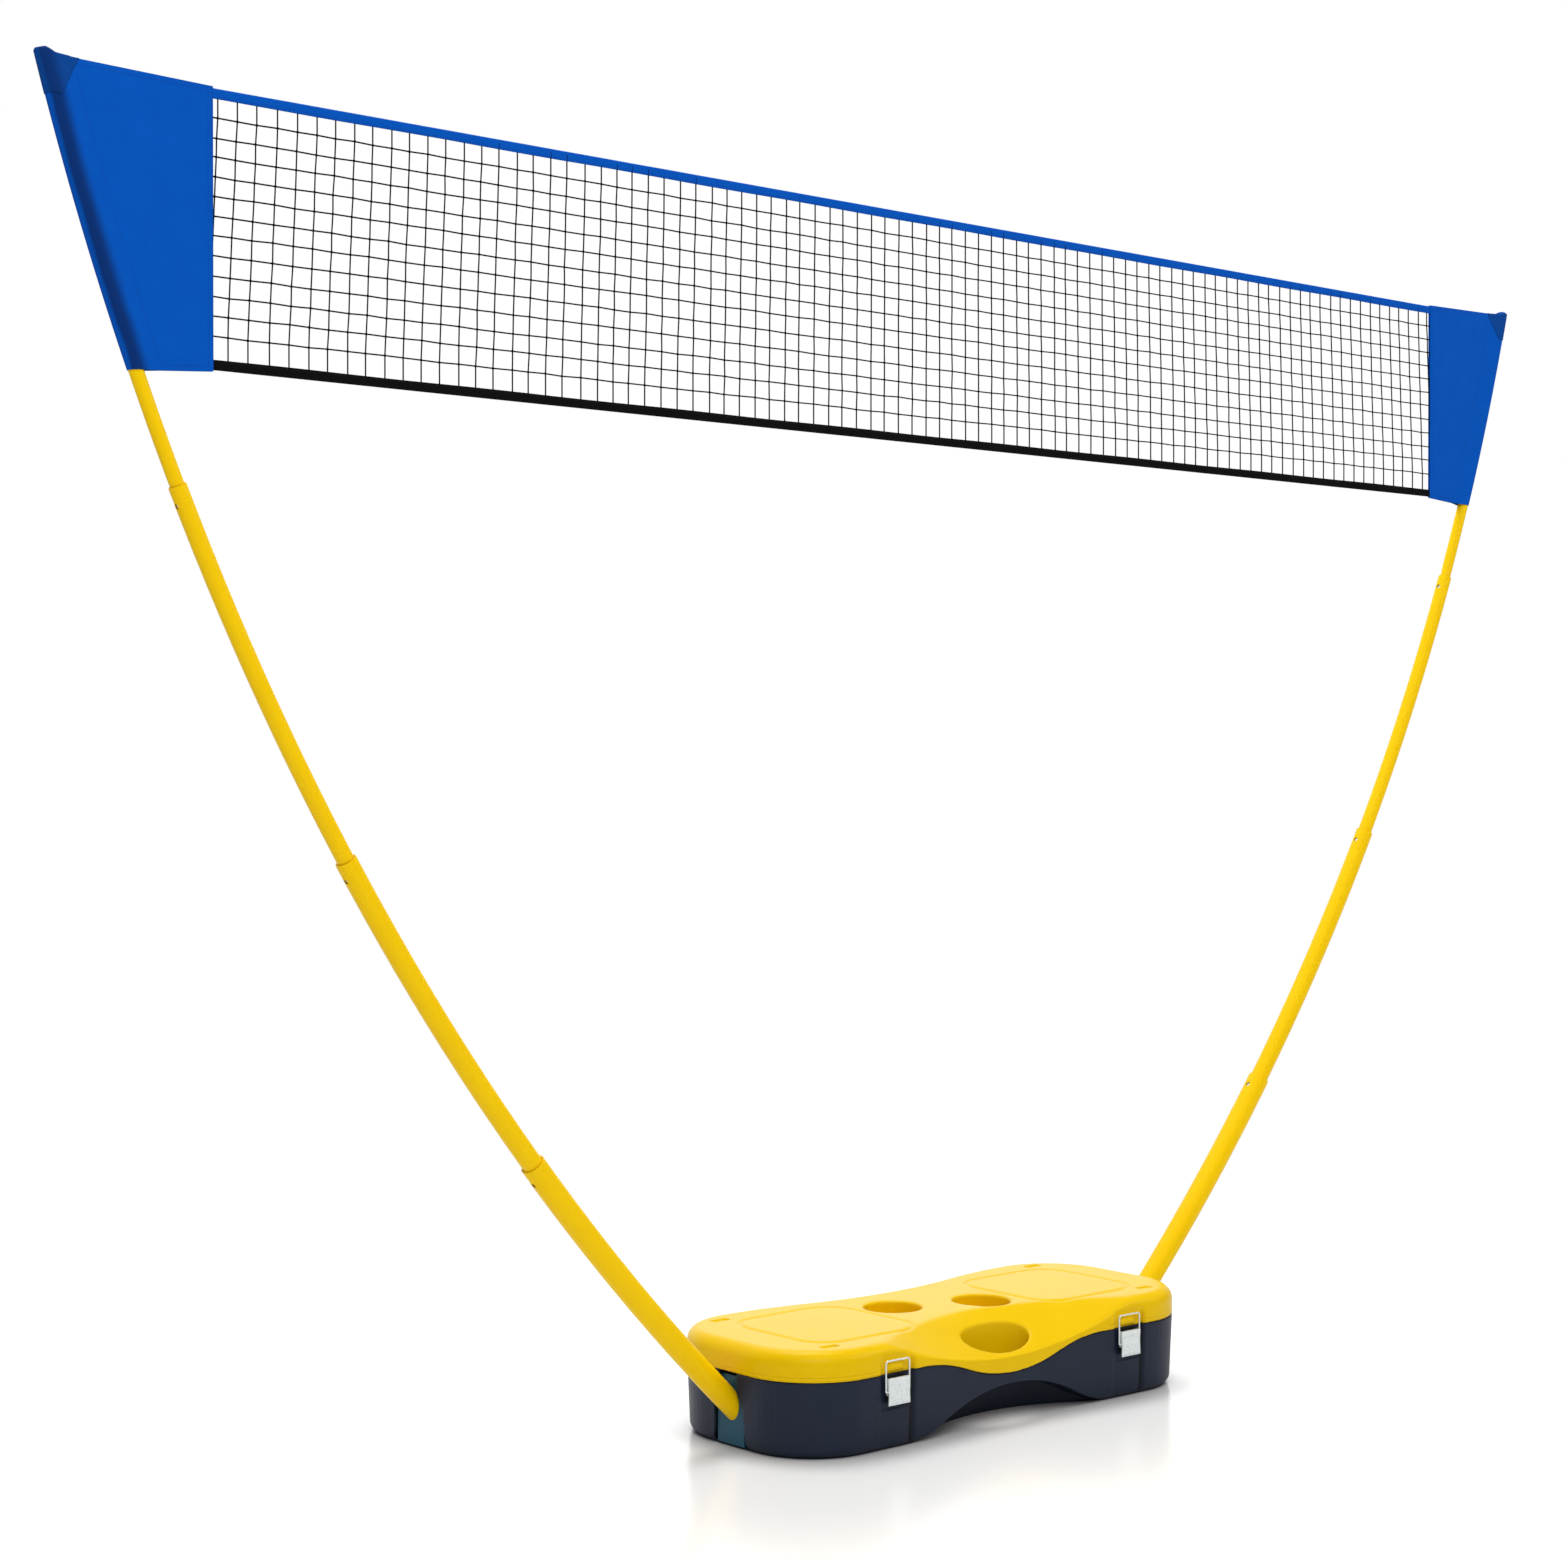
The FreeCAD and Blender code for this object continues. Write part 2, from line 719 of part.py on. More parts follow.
def make_hinge_pins():
    height = size("seam_height") + size("seam_gap") / 2
    reach = 2 * (size("knuckle_length") + size("seam_gap"))
    pins = []
    for place in hinge_places():
        start = Vector(place - reach / 2, hinge_line(), height)
        pins.append(Part.makeCylinder(size("hinge_pin_diameter") / 2, reach, start, Vector(1, 0, 0)))
    solid_feature("lid_hinge_pins", Part.makeCompound(pins))


# Pole sockets in the case ends

def screw_places(side):
    across = size("screw_spacing") / 2
    x = side * (HALF_LENGTH - size("socket_inset") - size("socket_length") + 10)
    return (Vector(x, -across, size("socket_height")), Vector(x, across, size("socket_height")))


def make_socket(side_name):
    side = SIDES[side_name]
    near = side * (HALF_LENGTH - size("socket_inset") - size("foot_draft"))
    far = near - side * size("socket_length")
    half = size("socket_width") / 2
    floor = size("floor_thickness")
    shape = block((min(near, far), -half, floor), (max(near, far), half, size("socket_height")))
    shape = shape.makeFillet(4, [edge for edge in shape.Edges if edge.BoundBox.XLength > 10 and edge.BoundBox.ZMin > 50])
    bore = size("lower_tube_outside") / 2 + size("seat_clearance")
    hole = ring_shape(side, FOOTS[0], WALL_ANGLE - arc_degrees(60), 0, bore)
    shape = shape.cut(hole)
    for place in screw_places(side):
        radius = size("screw_diameter") / 2 + size("seat_clearance")
        depth = size("screw_length")
        shape = shape.cut(Part.makeCylinder(radius, depth + 1, place - Vector(0, 0, depth)))
    solid_feature("pole_socket_" + side_name, shape)


def make_socket_screws(side_name):
    screws = []
    for place in screw_places(SIDES[side_name]):
        length = size("screw_length")
        shank = Part.makeCylinder(size("screw_diameter") / 2, length, place - Vector(0, 0, length))
        head_radius = size("screw_head_diameter") / 2
        head = Part.makeCylinder(head_radius, size("screw_head_height"), place)
        crown = [edge for edge in head.Edges if edge.BoundBox.ZMin > place.z + 1]
        head = head.makeFillet(size("screw_head_height") * 0.6, crown)
        screws.append(shank.fuse(head))
    solid_feature("socket_screws_" + side_name, Part.makeCompound(screws))


# Latches

def latch_seat():
    return -size("lobe_half_depth") + size("recess_depth")


def latch_pivot(place):
    stand = latch_seat() - size("latch_pivot_stand")
    return Vector(place, stand, size("latch_pivot_height"))


def make_latch_plate(side_name):
    place = SIDES[side_name] * LATCH_OFFSET
    seat = latch_seat()
    metal = size("latch_metal")
    half = size("lever_width") / 2 - 2 * metal
    pivot = latch_pivot(place)
    low = size("lever_foot") + 2
    shape = block((place - half, seat - metal, low), (place + half, seat, size("seam_height") - 1))
    ear = size("ear_radius")
    for start in (-half, half - metal):
        web = block(
            (place + start, pivot.y, pivot.z - size("ear_web_foot")),
            (place + start + metal, seat - metal, pivot.z - size("ear_web_head")),
        )
        eye = Part.makeCylinder(ear, metal, Vector(place + start, pivot.y, pivot.z), Vector(1, 0, 0))
        shape = shape.fuse([web, eye])
    bore = size("latch_pin_diameter") / 2 + size("seat_clearance")
    hole = Part.makeCylinder(bore, 2 * half + 2, pivot - Vector(half + 1, 0, 0), Vector(1, 0, 0))
    shape = shape.cut(hole).removeSplitter()
    solid_feature("latch_plate_" + side_name, shape)


def make_latch_rivets(side_name):
    place = SIDES[side_name] * LATCH_OFFSET
    face = latch_seat() - size("latch_metal")
    radius = size("rivet_head_diameter") / 2
    rivets = []
    for height in (size("lever_foot") + 8, size("lever_foot") + 20):
        dome = Part.makeSphere(radius, Vector(place, face + radius * 0.5, height))
        front = block((place - 9, face - 9, height - 9), (place + 9, face, height + 9))
        rivets.append(dome.common(front))
    solid_feature("latch_rivets_" + side_name, Part.makeCompound(rivets))


def make_latch_pin(side_name):
    place = SIDES[side_name] * LATCH_OFFSET
    reach = size("lever_width") / 2
    pin = doc.addObject("Part::Cylinder", "latch_pin_" + side_name)
    bind(pin, Radius="latch_pin_diameter / 2", Height="lever_width")
    start = latch_pivot(place) - Vector(reach, 0, 0)
    pin.Placement = Placement(start, Rotation(Vector(0, 1, 0), 90))
    keep(pin, "latch_pin_" + side_name)


def make_latch_lever(side_name):
    place = SIDES[side_name] * LATCH_OFFSET
    metal = size("latch_metal")
    pivot = latch_pivot(place)
    half = size("lever_width") / 2
    inside = pivot.y - size("ear_radius") - 0.2
    low = size("lever_foot")
    high = pivot.z + size("ear_radius") - 0.5
    shape = block((place - half, inside - metal, low), (place + half, inside, high))
    bend = [edge for edge in shape.Edges if edge.BoundBox.YMax < inside - metal / 2]
    shape = shape.makeFillet(0.4, bend)
    bail = pivot - Vector(0, 0, size("bail_pivot_drop"))
    for start in (-half, half - metal):
        flange = block(
            (place + start, inside - metal / 2, bail.z - 4), (place + start + metal, pivot.y + 2.4, high)
        )
        shape = shape.fuse(flange)
    pin = size("latch_pin_diameter") / 2 + size("pin_clearance")
    shape = shape.cut(Part.makeCylinder(pin, 2 * half + 2, pivot - Vector(half + 1, 0, 0), Vector(1, 0, 0)))
    wire = size("bail_wire") / 2 + size("pin_clearance")
    shape = shape.cut(Part.makeCylinder(wire, 2 * half + 2, bail - Vector(half + 1, 0, 0), Vector(1, 0, 0)))
    for height in (low + 6, low + 18):
        pad = block((place - 12, inside - metal - 0.5, height), (place + 12, inside - metal + 0.2, height + 8))
        pad = pad.makeFillet(0.3, [edge for edge in pad.Edges if edge.BoundBox.YMax < inside - metal])
        shape = shape.fuse(pad)
    solid_feature("latch_lever_" + side_name, shape)


def make_latch_bail(side_name):
    place = SIDES[side_name] * LATCH_OFFSET
    pivot = latch_pivot(place) - Vector(0, 0, size("bail_pivot_drop"))
    radius = size("bail_wire") / 2
    half = size("bail_half_width")
    bend = 4
    tuck = half - size("lever_width") / 2 + size("latch_metal") + 1
    top = pivot.z + size("bail_height")

    def at(x, z):
        return Vector(place + x, pivot.y, z)

    def corner(x, z, sign_x, sign_z):
        """A quarter bend whose corner is at x, z, from the run beside it to the next."""
        quarter = bend * (1 - math.sqrt(0.5))
        beside = at(x, z + sign_z * bend)
        middle = at(x + sign_x * quarter, z + sign_z * quarter)
        along = at(x + sign_x * bend, z)
        return beside, middle, along

    small = 1.6
    inward = small * (1 - math.sqrt(0.5))
    edges = []
    edges.append(Part.LineSegment(at(-half + tuck, pivot.z), at(-half + small, pivot.z)))
    edges.append(
        Part.Arc(at(-half + small, pivot.z), at(-half + inward, pivot.z + inward), at(-half, pivot.z + small))
    )
    first = corner(-half, top, 1, -1)
    edges.append(Part.LineSegment(at(-half, pivot.z + small), first[0]))
    edges.append(Part.Arc(*first))
    second = corner(half, top, -1, -1)
    edges.append(Part.LineSegment(first[2], second[2]))
    edges.append(Part.Arc(second[2], second[1], second[0]))
    edges.append(Part.LineSegment(second[0], at(half, pivot.z + small)))
    edges.append(
        Part.Arc(at(half, pivot.z + small), at(half - inward, pivot.z + inward), at(half - small, pivot.z))
    )
    edges.append(Part.LineSegment(at(half - small, pivot.z), at(half - tuck, pivot.z)))
    path = Part.Wire([edge.toShape() for edge in edges])
    start = path.Vertexes[0].Point
    ring = Part.Wire([Part.makeCircle(radius, start, Vector(1, 0, 0))])
    shape = path.makePipeShell([ring], True, False)
    solid_feature("latch_bail_" + side_name, shape)


# Net

PANEL_TOP = size("net_top") + size("panel_hem")
PANEL_FOOT = size("net_foot") - size("panel_hem")
MESH_HALF_LENGTH = pole_reach(PANEL_FOOT) - size("panel_foot_width")


def mesh_end(side, height):
    """Where the slanted end of the net lies, inside the end panel, at one height."""
    return side * (pole_reach(height) - size("mesh_tuck"))


def level_strip(low, high, thickness):
    """A flat strip along the net between two heights, with slanted ends."""
    half = thickness / 2
    points = []
    for side, height in ((-1, low), (1, low), (1, high), (-1, high)):
        points.append(Vector(mesh_end(side, height), -half, height))
    face = Part.Face(Part.makePolygon(points + points[:1]))
    return face, thickness


def make_net_bands():
    thickness = size("band_thickness")
    for name, low in (
        ("net_top_band", size("net_top") - size("band_height")),
        ("net_bottom_band", size("net_foot")),
    ):
        face, depth = level_strip(low, low + size("band_height"), thickness)
        solid_feature(name, face.extrude(Vector(0, depth, 0)))


def make_net_mesh():
    """The square net as one flat sheet with its openings cut through."""
    low = size("net_foot") + size("band_height")
    high = size("net_top") - size("band_height")
    thickness = size("mesh_thickness")
    columns = int(size("mesh_columns"))
    rows = int(size("mesh_rows"))
    cord = size("mesh_cord")
    pitch_x = 2 * MESH_HALF_LENGTH / columns
    pitch_z = (high - low) / rows
    face, depth = level_strip(low, high, thickness)
    holes = []
    for column in range(columns):
        for row_count in range(rows):
            x = -MESH_HALF_LENGTH + (column + 0.5) * pitch_x
            z = low + (row_count + 0.5) * pitch_z
            half_x = (pitch_x - cord) / 2
            half_z = (pitch_z - cord) / 2
            corners = [
                Vector(x - half_x, -thickness / 2, z - half_z),
                Vector(x + half_x, -thickness / 2, z - half_z),
                Vector(x + half_x, -thickness / 2, z + half_z),
                Vector(x - half_x, -thickness / 2, z + half_z),
            ]
            holes.append(Part.makePolygon(corners + corners[:1]))
    sheet_face = Part.makeFace([face.OuterWire] + holes, "Part::FaceMakerBullseye")
    solid_feature("net_mesh", sheet_face.extrude(Vector(0, depth, 0)))


SLEEVE_FOOT = angle_at(PANEL_FOOT - size("sleeve_drop"))
SLEEVE_HEAD = TIP_ANGLE - arc_degrees(size("sleeve_rise"))


def panel_plate(side, thickness, extra):
    """The flat of an end panel, from its inner edge to the pole's axis."""
    inner = side * (MESH_HALF_LENGTH - extra)
    foot = curve_point(side, SLEEVE_FOOT)
    middle = curve_point(side, (SLEEVE_FOOT + SLEEVE_HEAD) / 2)
    head = curve_point(side, SLEEVE_HEAD)
    low = Vector(inner, 0, PANEL_FOOT)
    high = Vector(inner, 0, PANEL_TOP)
    edges = [
        Part.LineSegment(low, foot),
        Part.Arc(foot, middle, head),
        Part.LineSegment(head, high),
        Part.LineSegment(high, low),
    ]
    face = Part.Face(Part.Wire([edge.toShape() for edge in edges]))
    face.translate(Vector(0, -thickness / 2, 0))
    return face.extrude(Vector(0, thickness, 0))


def sleeve_radii():
    inside = size("top_tube_outside") / 2 + size("sleeve_clearance")
    return inside, inside + size("sleeve_wall")


def panel_slot_shape(side):
    """The room between the panel's two layers, where the net's end lies."""
    width = size("panel_slot")
    low = size("net_foot") - 0.4
    high = size("net_top") + 0.4
    points = []
    margin = side * 6
    inner = side * (MESH_HALF_LENGTH - 5)
    for x, z in (
        (inner, low),
        (mesh_end(side, low) + margin, low),
        (mesh_end(side, high) + margin, high),
        (inner, high),
    ):
        points.append(Vector(x, -width / 2, z))
    face = Part.Face(Part.makePolygon(points + points[:1]))
    return face.extrude(Vector(0, width, 0))


def make_end_panel(side_name):
    side = SIDES[side_name]
    inside, outside = sleeve_radii()
    sleeve = ring_shape(side, SLEEVE_FOOT, SLEEVE_HEAD, 0, outside)
    shape = sleeve.fuse(panel_plate(side, size("panel_thickness"), 0))
    bore = ring_shape(side, SLEEVE_FOOT + arc_degrees(5), SLEEVE_HEAD - arc_degrees(5), 0, inside)
    shape = shape.cut(bore)
    shape = shape.cut(panel_slot_shape(side))
    solid_feature("end_panel_" + side_name, shape)


def corner_form(side, layer):
    """The corner pocket's form, drawn in to its inner or outer surface."""
    _, sleeve = sleeve_radii()
    foot = TIP_ANGLE + arc_degrees(size("pocket_reach"))
    head = SLEEVE_HEAD - arc_degrees(layer)
    tube = ring_shape(side, foot, head, 0, sleeve + layer)
    thickness = size("panel_thickness") + 2 * layer
    tip = curve_point(side, head)
    low = curve_point(side, foot)
    top = Vector(tip.x - side * size("pocket_length"), 0, PANEL_TOP + layer)
    face = Part.Face(Part.makePolygon([tip, low, top, tip]))
    face.translate(Vector(0, -thickness / 2, 0))
    return tube.fuse(face.extrude(Vector(0, thickness, 0)))


def make_corner_pocket(side_name):
    side = SIDES[side_name]
    gap = size("seat_clearance")
    outer = corner_form(side, gap + size("pocket_wall"))
    _, sleeve = sleeve_radii()
    reach = TIP_ANGLE + arc_degrees(size("pocket_reach") + 20)
    inner = ring_shape(side, reach, SLEEVE_HEAD - arc_degrees(gap), 0, sleeve + gap)
    plate = panel_plate(side, size("panel_thickness") + 2 * gap, 0)
    plate = plate.fuse(plate.translated(Vector(0, 0, gap)))
    shape = outer.cut(inner).cut(plate)
    solids = sorted(shape.Solids, key=lambda solid: solid.Volume)
    solid_feature("corner_pocket_" + side_name, solids[-1])


make_case_base()
make_case_lid()
make_hinge_pins()
for side_name in SIDES:
    make_socket(side_name)
    make_socket_screws(side_name)
    make_latch_plate(side_name)
    make_latch_rivets(side_name)
    make_latch_pin(side_name)
    make_latch_lever(side_name)
    make_latch_bail(side_name)
    for number in range(4):
        make_tube(side_name, number)
    for number in range(3):
        make_bush(side_name, number)
    for number in (1, 2, 3):
        make_button(side_name, number)
        make_button_spring(side_name, number)
    make_tip_cap(side_name)
    make_end_panel(side_name)
    make_corner_pocket(side_name)
make_net_mesh()
make_net_bands()
doc.recompute()

# Check every object before anything is written

for item in doc.Objects:
    if "Invalid" in item.State or "Error" in item.State:
        raise RuntimeError("%s did not build: %s" % (item.Name, item.State))
for item in parts:
    if item.Shape.isNull() or not item.Shape.isValid():
        raise RuntimeError("%s has no valid shape" % item.Label)
    if not item.Shape.Solids:
        raise RuntimeError("%s holds no solid" % item.Label)

os.makedirs("parts", exist_ok=True)
for item in parts:
    item.Shape.exportStep("parts/%s.step" % item.Label)
    print("%-24s %d solids %12.1f mm3" % (item.Label, len(item.Shape.Solids), item.Shape.Volume))
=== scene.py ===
import math
import random

import bpy
import numpy as np
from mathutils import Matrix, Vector


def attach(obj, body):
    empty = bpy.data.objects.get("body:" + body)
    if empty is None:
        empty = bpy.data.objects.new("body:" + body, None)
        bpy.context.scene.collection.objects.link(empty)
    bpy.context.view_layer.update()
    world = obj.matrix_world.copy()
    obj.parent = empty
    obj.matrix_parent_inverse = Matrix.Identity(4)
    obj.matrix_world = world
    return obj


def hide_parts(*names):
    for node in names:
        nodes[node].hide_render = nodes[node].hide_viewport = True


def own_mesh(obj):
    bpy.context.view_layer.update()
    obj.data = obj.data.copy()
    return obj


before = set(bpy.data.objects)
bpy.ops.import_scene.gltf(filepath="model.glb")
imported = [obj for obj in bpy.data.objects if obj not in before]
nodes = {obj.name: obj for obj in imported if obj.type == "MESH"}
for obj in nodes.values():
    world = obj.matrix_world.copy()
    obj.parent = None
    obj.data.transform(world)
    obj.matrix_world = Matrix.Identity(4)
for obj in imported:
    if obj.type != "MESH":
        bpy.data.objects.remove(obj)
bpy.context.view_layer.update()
scene = bpy.context.scene
scene.view_settings.view_transform = "Standard"


# The room. A plain white studio: a pale floor that keeps the shadow, a white surround, and three
# large soft lamps. The camera stands low in front of the net's left end.

def colour(red, green, blue):
    """A colour as it looks on a screen, 0 to 255, in Blender's linear numbers."""
    linear = []
    for value in (red, green, blue):
        share = value / 255
        linear.append(share / 12.92 if share < 0.04 else ((share + 0.055) / 1.055) ** 2.4)
    return (*linear, 1.0)


class Wire:
    """One output in a node tree, so that sums on it are written as sums."""

    def __init__(self, board, socket):
        self.board = board
        self.socket = socket

    def __add__(self, other):
        return self.board.sum("ADD", self, other)

    def __sub__(self, other):
        return self.board.sum("SUBTRACT", self, other)

    def __rsub__(self, other):
        return self.board.sum("SUBTRACT", other, self)

    def __mul__(self, other):
        return self.board.sum("MULTIPLY", self, other)

    def __truediv__(self, other):
        return self.board.sum("DIVIDE", self, other)

    __radd__ = __add__
    __rmul__ = __mul__


class Board:
    """A node tree that is being wired up."""

    def __init__(self, tree):
        self.tree = tree

    def node(self, kind, settings=None, values=None, output=0):
        """One node: its type, its settings, and the values or wires of its sockets."""
        item = self.tree.nodes.new("ShaderNode" + kind)
        for name, value in (settings or {}).items():
            setattr(item, name, value)
        for socket, value in (values or {}).items():
            if isinstance(value, Wire):
                self.tree.links.new(value.socket, item.inputs[socket])
            else:
                item.inputs[socket].default_value = value
        return Wire(self, item.outputs[output])

    def sum(self, operation, *values):
        """One Math node on these values."""
        return self.node("Math", {"operation": operation}, dict(enumerate(values)))

    def step(self, value, low, high):
        """0 below low, 1 above high, and smooth between."""
        return self.node(
            "MapRange",
            {"interpolation_type": "SMOOTHSTEP"},
            {"Value": value, "From Min": low, "From Max": high},
        )

    def mix(self, mask, first, second):
        """The first colour where mask is 0, and the second where it is 1."""
        return self.node("Mix", {"data_type": "RGBA"}, {0: mask, 6: first, 7: second}, 2)

    def spot(self, source="Object", stretch=(1, 1, 1)):
        """Where a point lies, in metres, on the piece or on its unrolled cloth."""
        place = self.node("TexCoord", output=source)
        return self.node("VectorMath", {"operation": "MULTIPLY"}, {0: place, 1: stretch})

    def part(self, place, axis):
        """One coordinate of a place: x is 0, y is 1 and z is 2."""
        return self.node("SeparateXYZ", values={0: place}, output=axis)

    def noise(self, size, detail=2.0, place=None, roughness=0.5):
        """Soft uneven blotches about size metres across, from 0 to 1."""
        values = {
            "Vector": place or self.spot(),
            "Scale": 1 / size,
            "Detail": detail,
            "Roughness": roughness,
        }
        return self.node("TexNoise", values=values)

    def seen(self, *kinds):
        """1 where the ray comes from one of these: the camera, a mirror or glass."""
        path = self.tree.nodes.new("ShaderNodeLightPath")
        total = 0.0
        for kind in kinds or ("Camera", "Glossy", "Transmission"):
            total = Wire(self, path.outputs["Is " + kind + " Ray"]) + total
        return self.sum("MINIMUM", total, 1.0)


WHITE = (1, 1, 1, 1)
SURROUND_LEVEL = 0.42
MIRROR_DARK, MIRROR_WHITE = 0.15, 0.72
MIRROR_GAIN, MIRROR_LOSS = 1.4, 0.9
world = bpy.data.worlds.new("white_surround")
scene.world = world
world.use_nodes = True
room = Board(world.node_tree)
surround = world.node_tree.nodes["Background"]
surround.inputs["Color"].default_value = WHITE
# In a mirror the room is white behind the net and dark on the camera's side, as in a studio.
toward_back = room.step(room.part(room.spot("Generated"), 1), MIRROR_DARK, MIRROR_WHITE)
mirrored = 1 + room.seen("Glossy") * (toward_back * MIRROR_GAIN - MIRROR_LOSS)
level = (SURROUND_LEVEL + room.seen() * (1 - SURROUND_LEVEL)) * mirrored
world.node_tree.links.new(level.socket, surround.inputs["Strength"])

# The floor lies a hair under the case. Its grey where little sky is seen is the case's shadow.
FLOOR_ACROSS, FLOOR_DROP = 60, 0.0004
SHADOW_REACH = 0.12
SHADOW_GREY, PAPER_GREY = (0.26, 0.26, 0.27, 1), (0.82, 0.82, 0.82, 1)
PAPER_GLOW = 0.12
WHITE_FROM, WHITE_TO = 0.75, 1.7
bpy.ops.object.select_all(action="DESELECT")
bpy.ops.mesh.primitive_grid_add(
    x_subdivisions=8, y_subdivisions=8, size=FLOOR_ACROSS, location=(0, 0, -FLOOR_DROP)
)
floor = bpy.context.object
floor.name = "floor"
paper = bpy.data.materials.new("floor_paper")
paper.use_nodes = True
ground = Board(paper.node_tree)
paper_shader = paper.node_tree.nodes["Principled BSDF"]
open_sky = ground.node("AmbientOcclusion", {"samples": 4}, {"Distance": SHADOW_REACH}, 1)
open_sky = ground.step(open_sky, 0.1, 0.8)
grey = ground.mix(open_sky, SHADOW_GREY, PAPER_GREY)
paper.node_tree.links.new(grey.socket, paper_shader.inputs["Base Color"])
paper_shader.inputs["Roughness"].default_value = 0.22
paper_shader.inputs["Emission Color"].default_value = WHITE
paper_glow = ground.seen() * open_sky * PAPER_GLOW
paper.node_tree.links.new(paper_glow.socket, paper_shader.inputs["Emission Strength"])
glow = ground.node("Emission", values={"Color": WHITE, "Strength": 1.0})
from_case = ground.node("VectorMath", {"operation": "LENGTH"}, {0: ground.spot()}, 1)
far_off = ground.step(from_case, WHITE_FROM, WHITE_TO) * ground.seen()
blend = ground.node(
    "MixShader", values={0: far_off, 1: Wire(ground, paper_shader.outputs[0]), 2: glow}
)
paper.node_tree.links.new(blend.socket, paper.node_tree.nodes["Material Output"].inputs["Surface"])
floor.data.materials.append(paper)

# Each lamp's place, size across, power, and the point that it lights.
LAMPS = [
    ((-2.4, -3.2, 3.4), 2.2, 78, (0, 0, 0.5)),
    ((2.8, -2.8, 3.2), 2.4, 42, (0, 0, 0.5)),
    ((0.3, 1.1, 4.4), 2.2, 110, (0, 0, 0.2)),
]
for count, (place, across, power, aim) in enumerate(LAMPS):
    bpy.ops.object.light_add(type="AREA", location=place)
    lamp = bpy.context.object
    lamp.name = "softbox_%d" % (count + 1)
    lamp.data.size = across
    lamp.data.energy = power
    lamp.rotation_euler = (Vector(aim) - Vector(place)).to_track_quat("-Z", "Y").to_euler()

CAMERA_PLACE = (-2.51335, -2.58492, 0.84227)
CAMERA_TILT, CAMERA_TURN = math.radians(89.489), math.radians(-40.979)
SENSOR = 36
FOCAL_PIXELS, PHOTO_PIXELS = 2752.9, 1568
bpy.ops.object.camera_add(location=CAMERA_PLACE, rotation=(CAMERA_TILT, 0, CAMERA_TURN))
camera = bpy.context.object
camera.data.sensor_width = SENSOR
camera.data.lens = SENSOR * FOCAL_PIXELS / PHOTO_PIXELS
scene.camera = camera


# The case's lower shell. Injection-moulded navy polypropylene with a fine satin grain, drawn in
# at the waist, with a hollow under its front edge for the fingers and soft edges all round.

class Finish(Board):
    """A material of this object: one principled shader and what is wired to it."""

    def __init__(self, name, **sockets):
        self.material = bpy.data.materials.new(name)
        self.material.use_nodes = True
        super().__init__(self.material.node_tree)
        self.shader = self.tree.nodes["Principled BSDF"]
        for socket, value in sockets.items():
            self.feed(socket.replace("_", " ").title().replace("Ior", "IOR"), value)

    def feed(self, socket, value):
        """Give one of the shader's sockets a value or a wire."""
        if isinstance(value, Wire):
            self.tree.links.new(value.socket, self.shader.inputs[socket])
        else:
            self.shader.inputs[socket].default_value = value

    def plain_colour(self):
        """What is wired to the colour so far."""
        return Wire(self, self.shader.inputs["Base Color"].links[0].from_socket)

    def relief(self, height, depth):
        """Raise the surface by height, 0 to 1, times depth in metres."""
        bump = self.node("Bump", values={"Height": height, "Distance": depth, "Strength": 1.0})
        self.feed("Normal", bump)

    def crease(self, shade_colour, reach, amount=1.0):
        """Painted shade: let the colour go over to the given dark colour where the surface is
        hollow, within reach metres.
        """
        plain = self.plain_colour()
        settings = {"samples": 3, "only_local": True}
        open_air = self.node("AmbientOcclusion", settings, {"Distance": reach}, 1)
        hollow = 1 - self.step(open_air, 0.2, 0.85)
        self.feed("Base Color", self.mix(hollow * amount, plain, shade_colour))

    def on(self, *pieces):
        """Give whole pieces this material."""
        for piece in pieces:
            if not piece.material_slots:
                piece.data.materials.append(self.material)
            for holder in piece.material_slots:
                holder.material = self.material


def alone(piece):
    """Make one piece the only thing that an operator works on."""
    if bpy.context.object and bpy.context.object.mode != "OBJECT":
        bpy.ops.object.mode_set(mode="OBJECT")
    bpy.ops.object.select_all(action="DESELECT")
    piece.select_set(True)
    bpy.context.view_layer.objects.active = piece


def finish_with(piece, kind, **settings):
    """Put one modifier on a piece and apply it."""
    alone(piece)
    modifier = piece.modifiers.new(kind.lower(), kind)
    for name, value in settings.items():
        setattr(modifier, name, value)
    bpy.ops.object.modifier_apply(modifier=modifier.name)


def points_of(piece):
    """A piece's points in metres, one row each."""
    flat = np.empty(len(piece.data.vertices) * 3)
    piece.data.vertices.foreach_get("co", flat)
    return flat.reshape(-1, 3)


def measured(piece):
    """A piece's points in metres, and then their x, y and z in millimetres."""
    points = points_of(piece)
    return (points, *(points.T * 1000))


def set_points(piece, points):
    """Put a piece's points at new places, in metres."""
    piece.data.vertices.foreach_set("co", points.astype(np.float64).ravel())
    piece.data.update()


def smooth_step(value, low, high):
    """0 below low, 1 above high, and smooth between, for plain numbers."""
    share = np.clip((value - low) / (high - low), 0, 1)
    return share * share * (3 - 2 * share)


def ease(piece, weights, rounds):
    """Smooth a piece where the weights, 0 to 1, say so."""
    group = piece.vertex_groups.new(name="soft")
    for share in range(1, 11):
        chosen = np.nonzero(np.ceil(weights * 10) == share)[0]
        group.add(chosen.tolist(), share / 10, "REPLACE")
    finish_with(piece, "SMOOTH", factor=0.5, iterations=rounds, vertex_group="soft")
    piece.vertex_groups.remove(piece.vertex_groups["soft"])


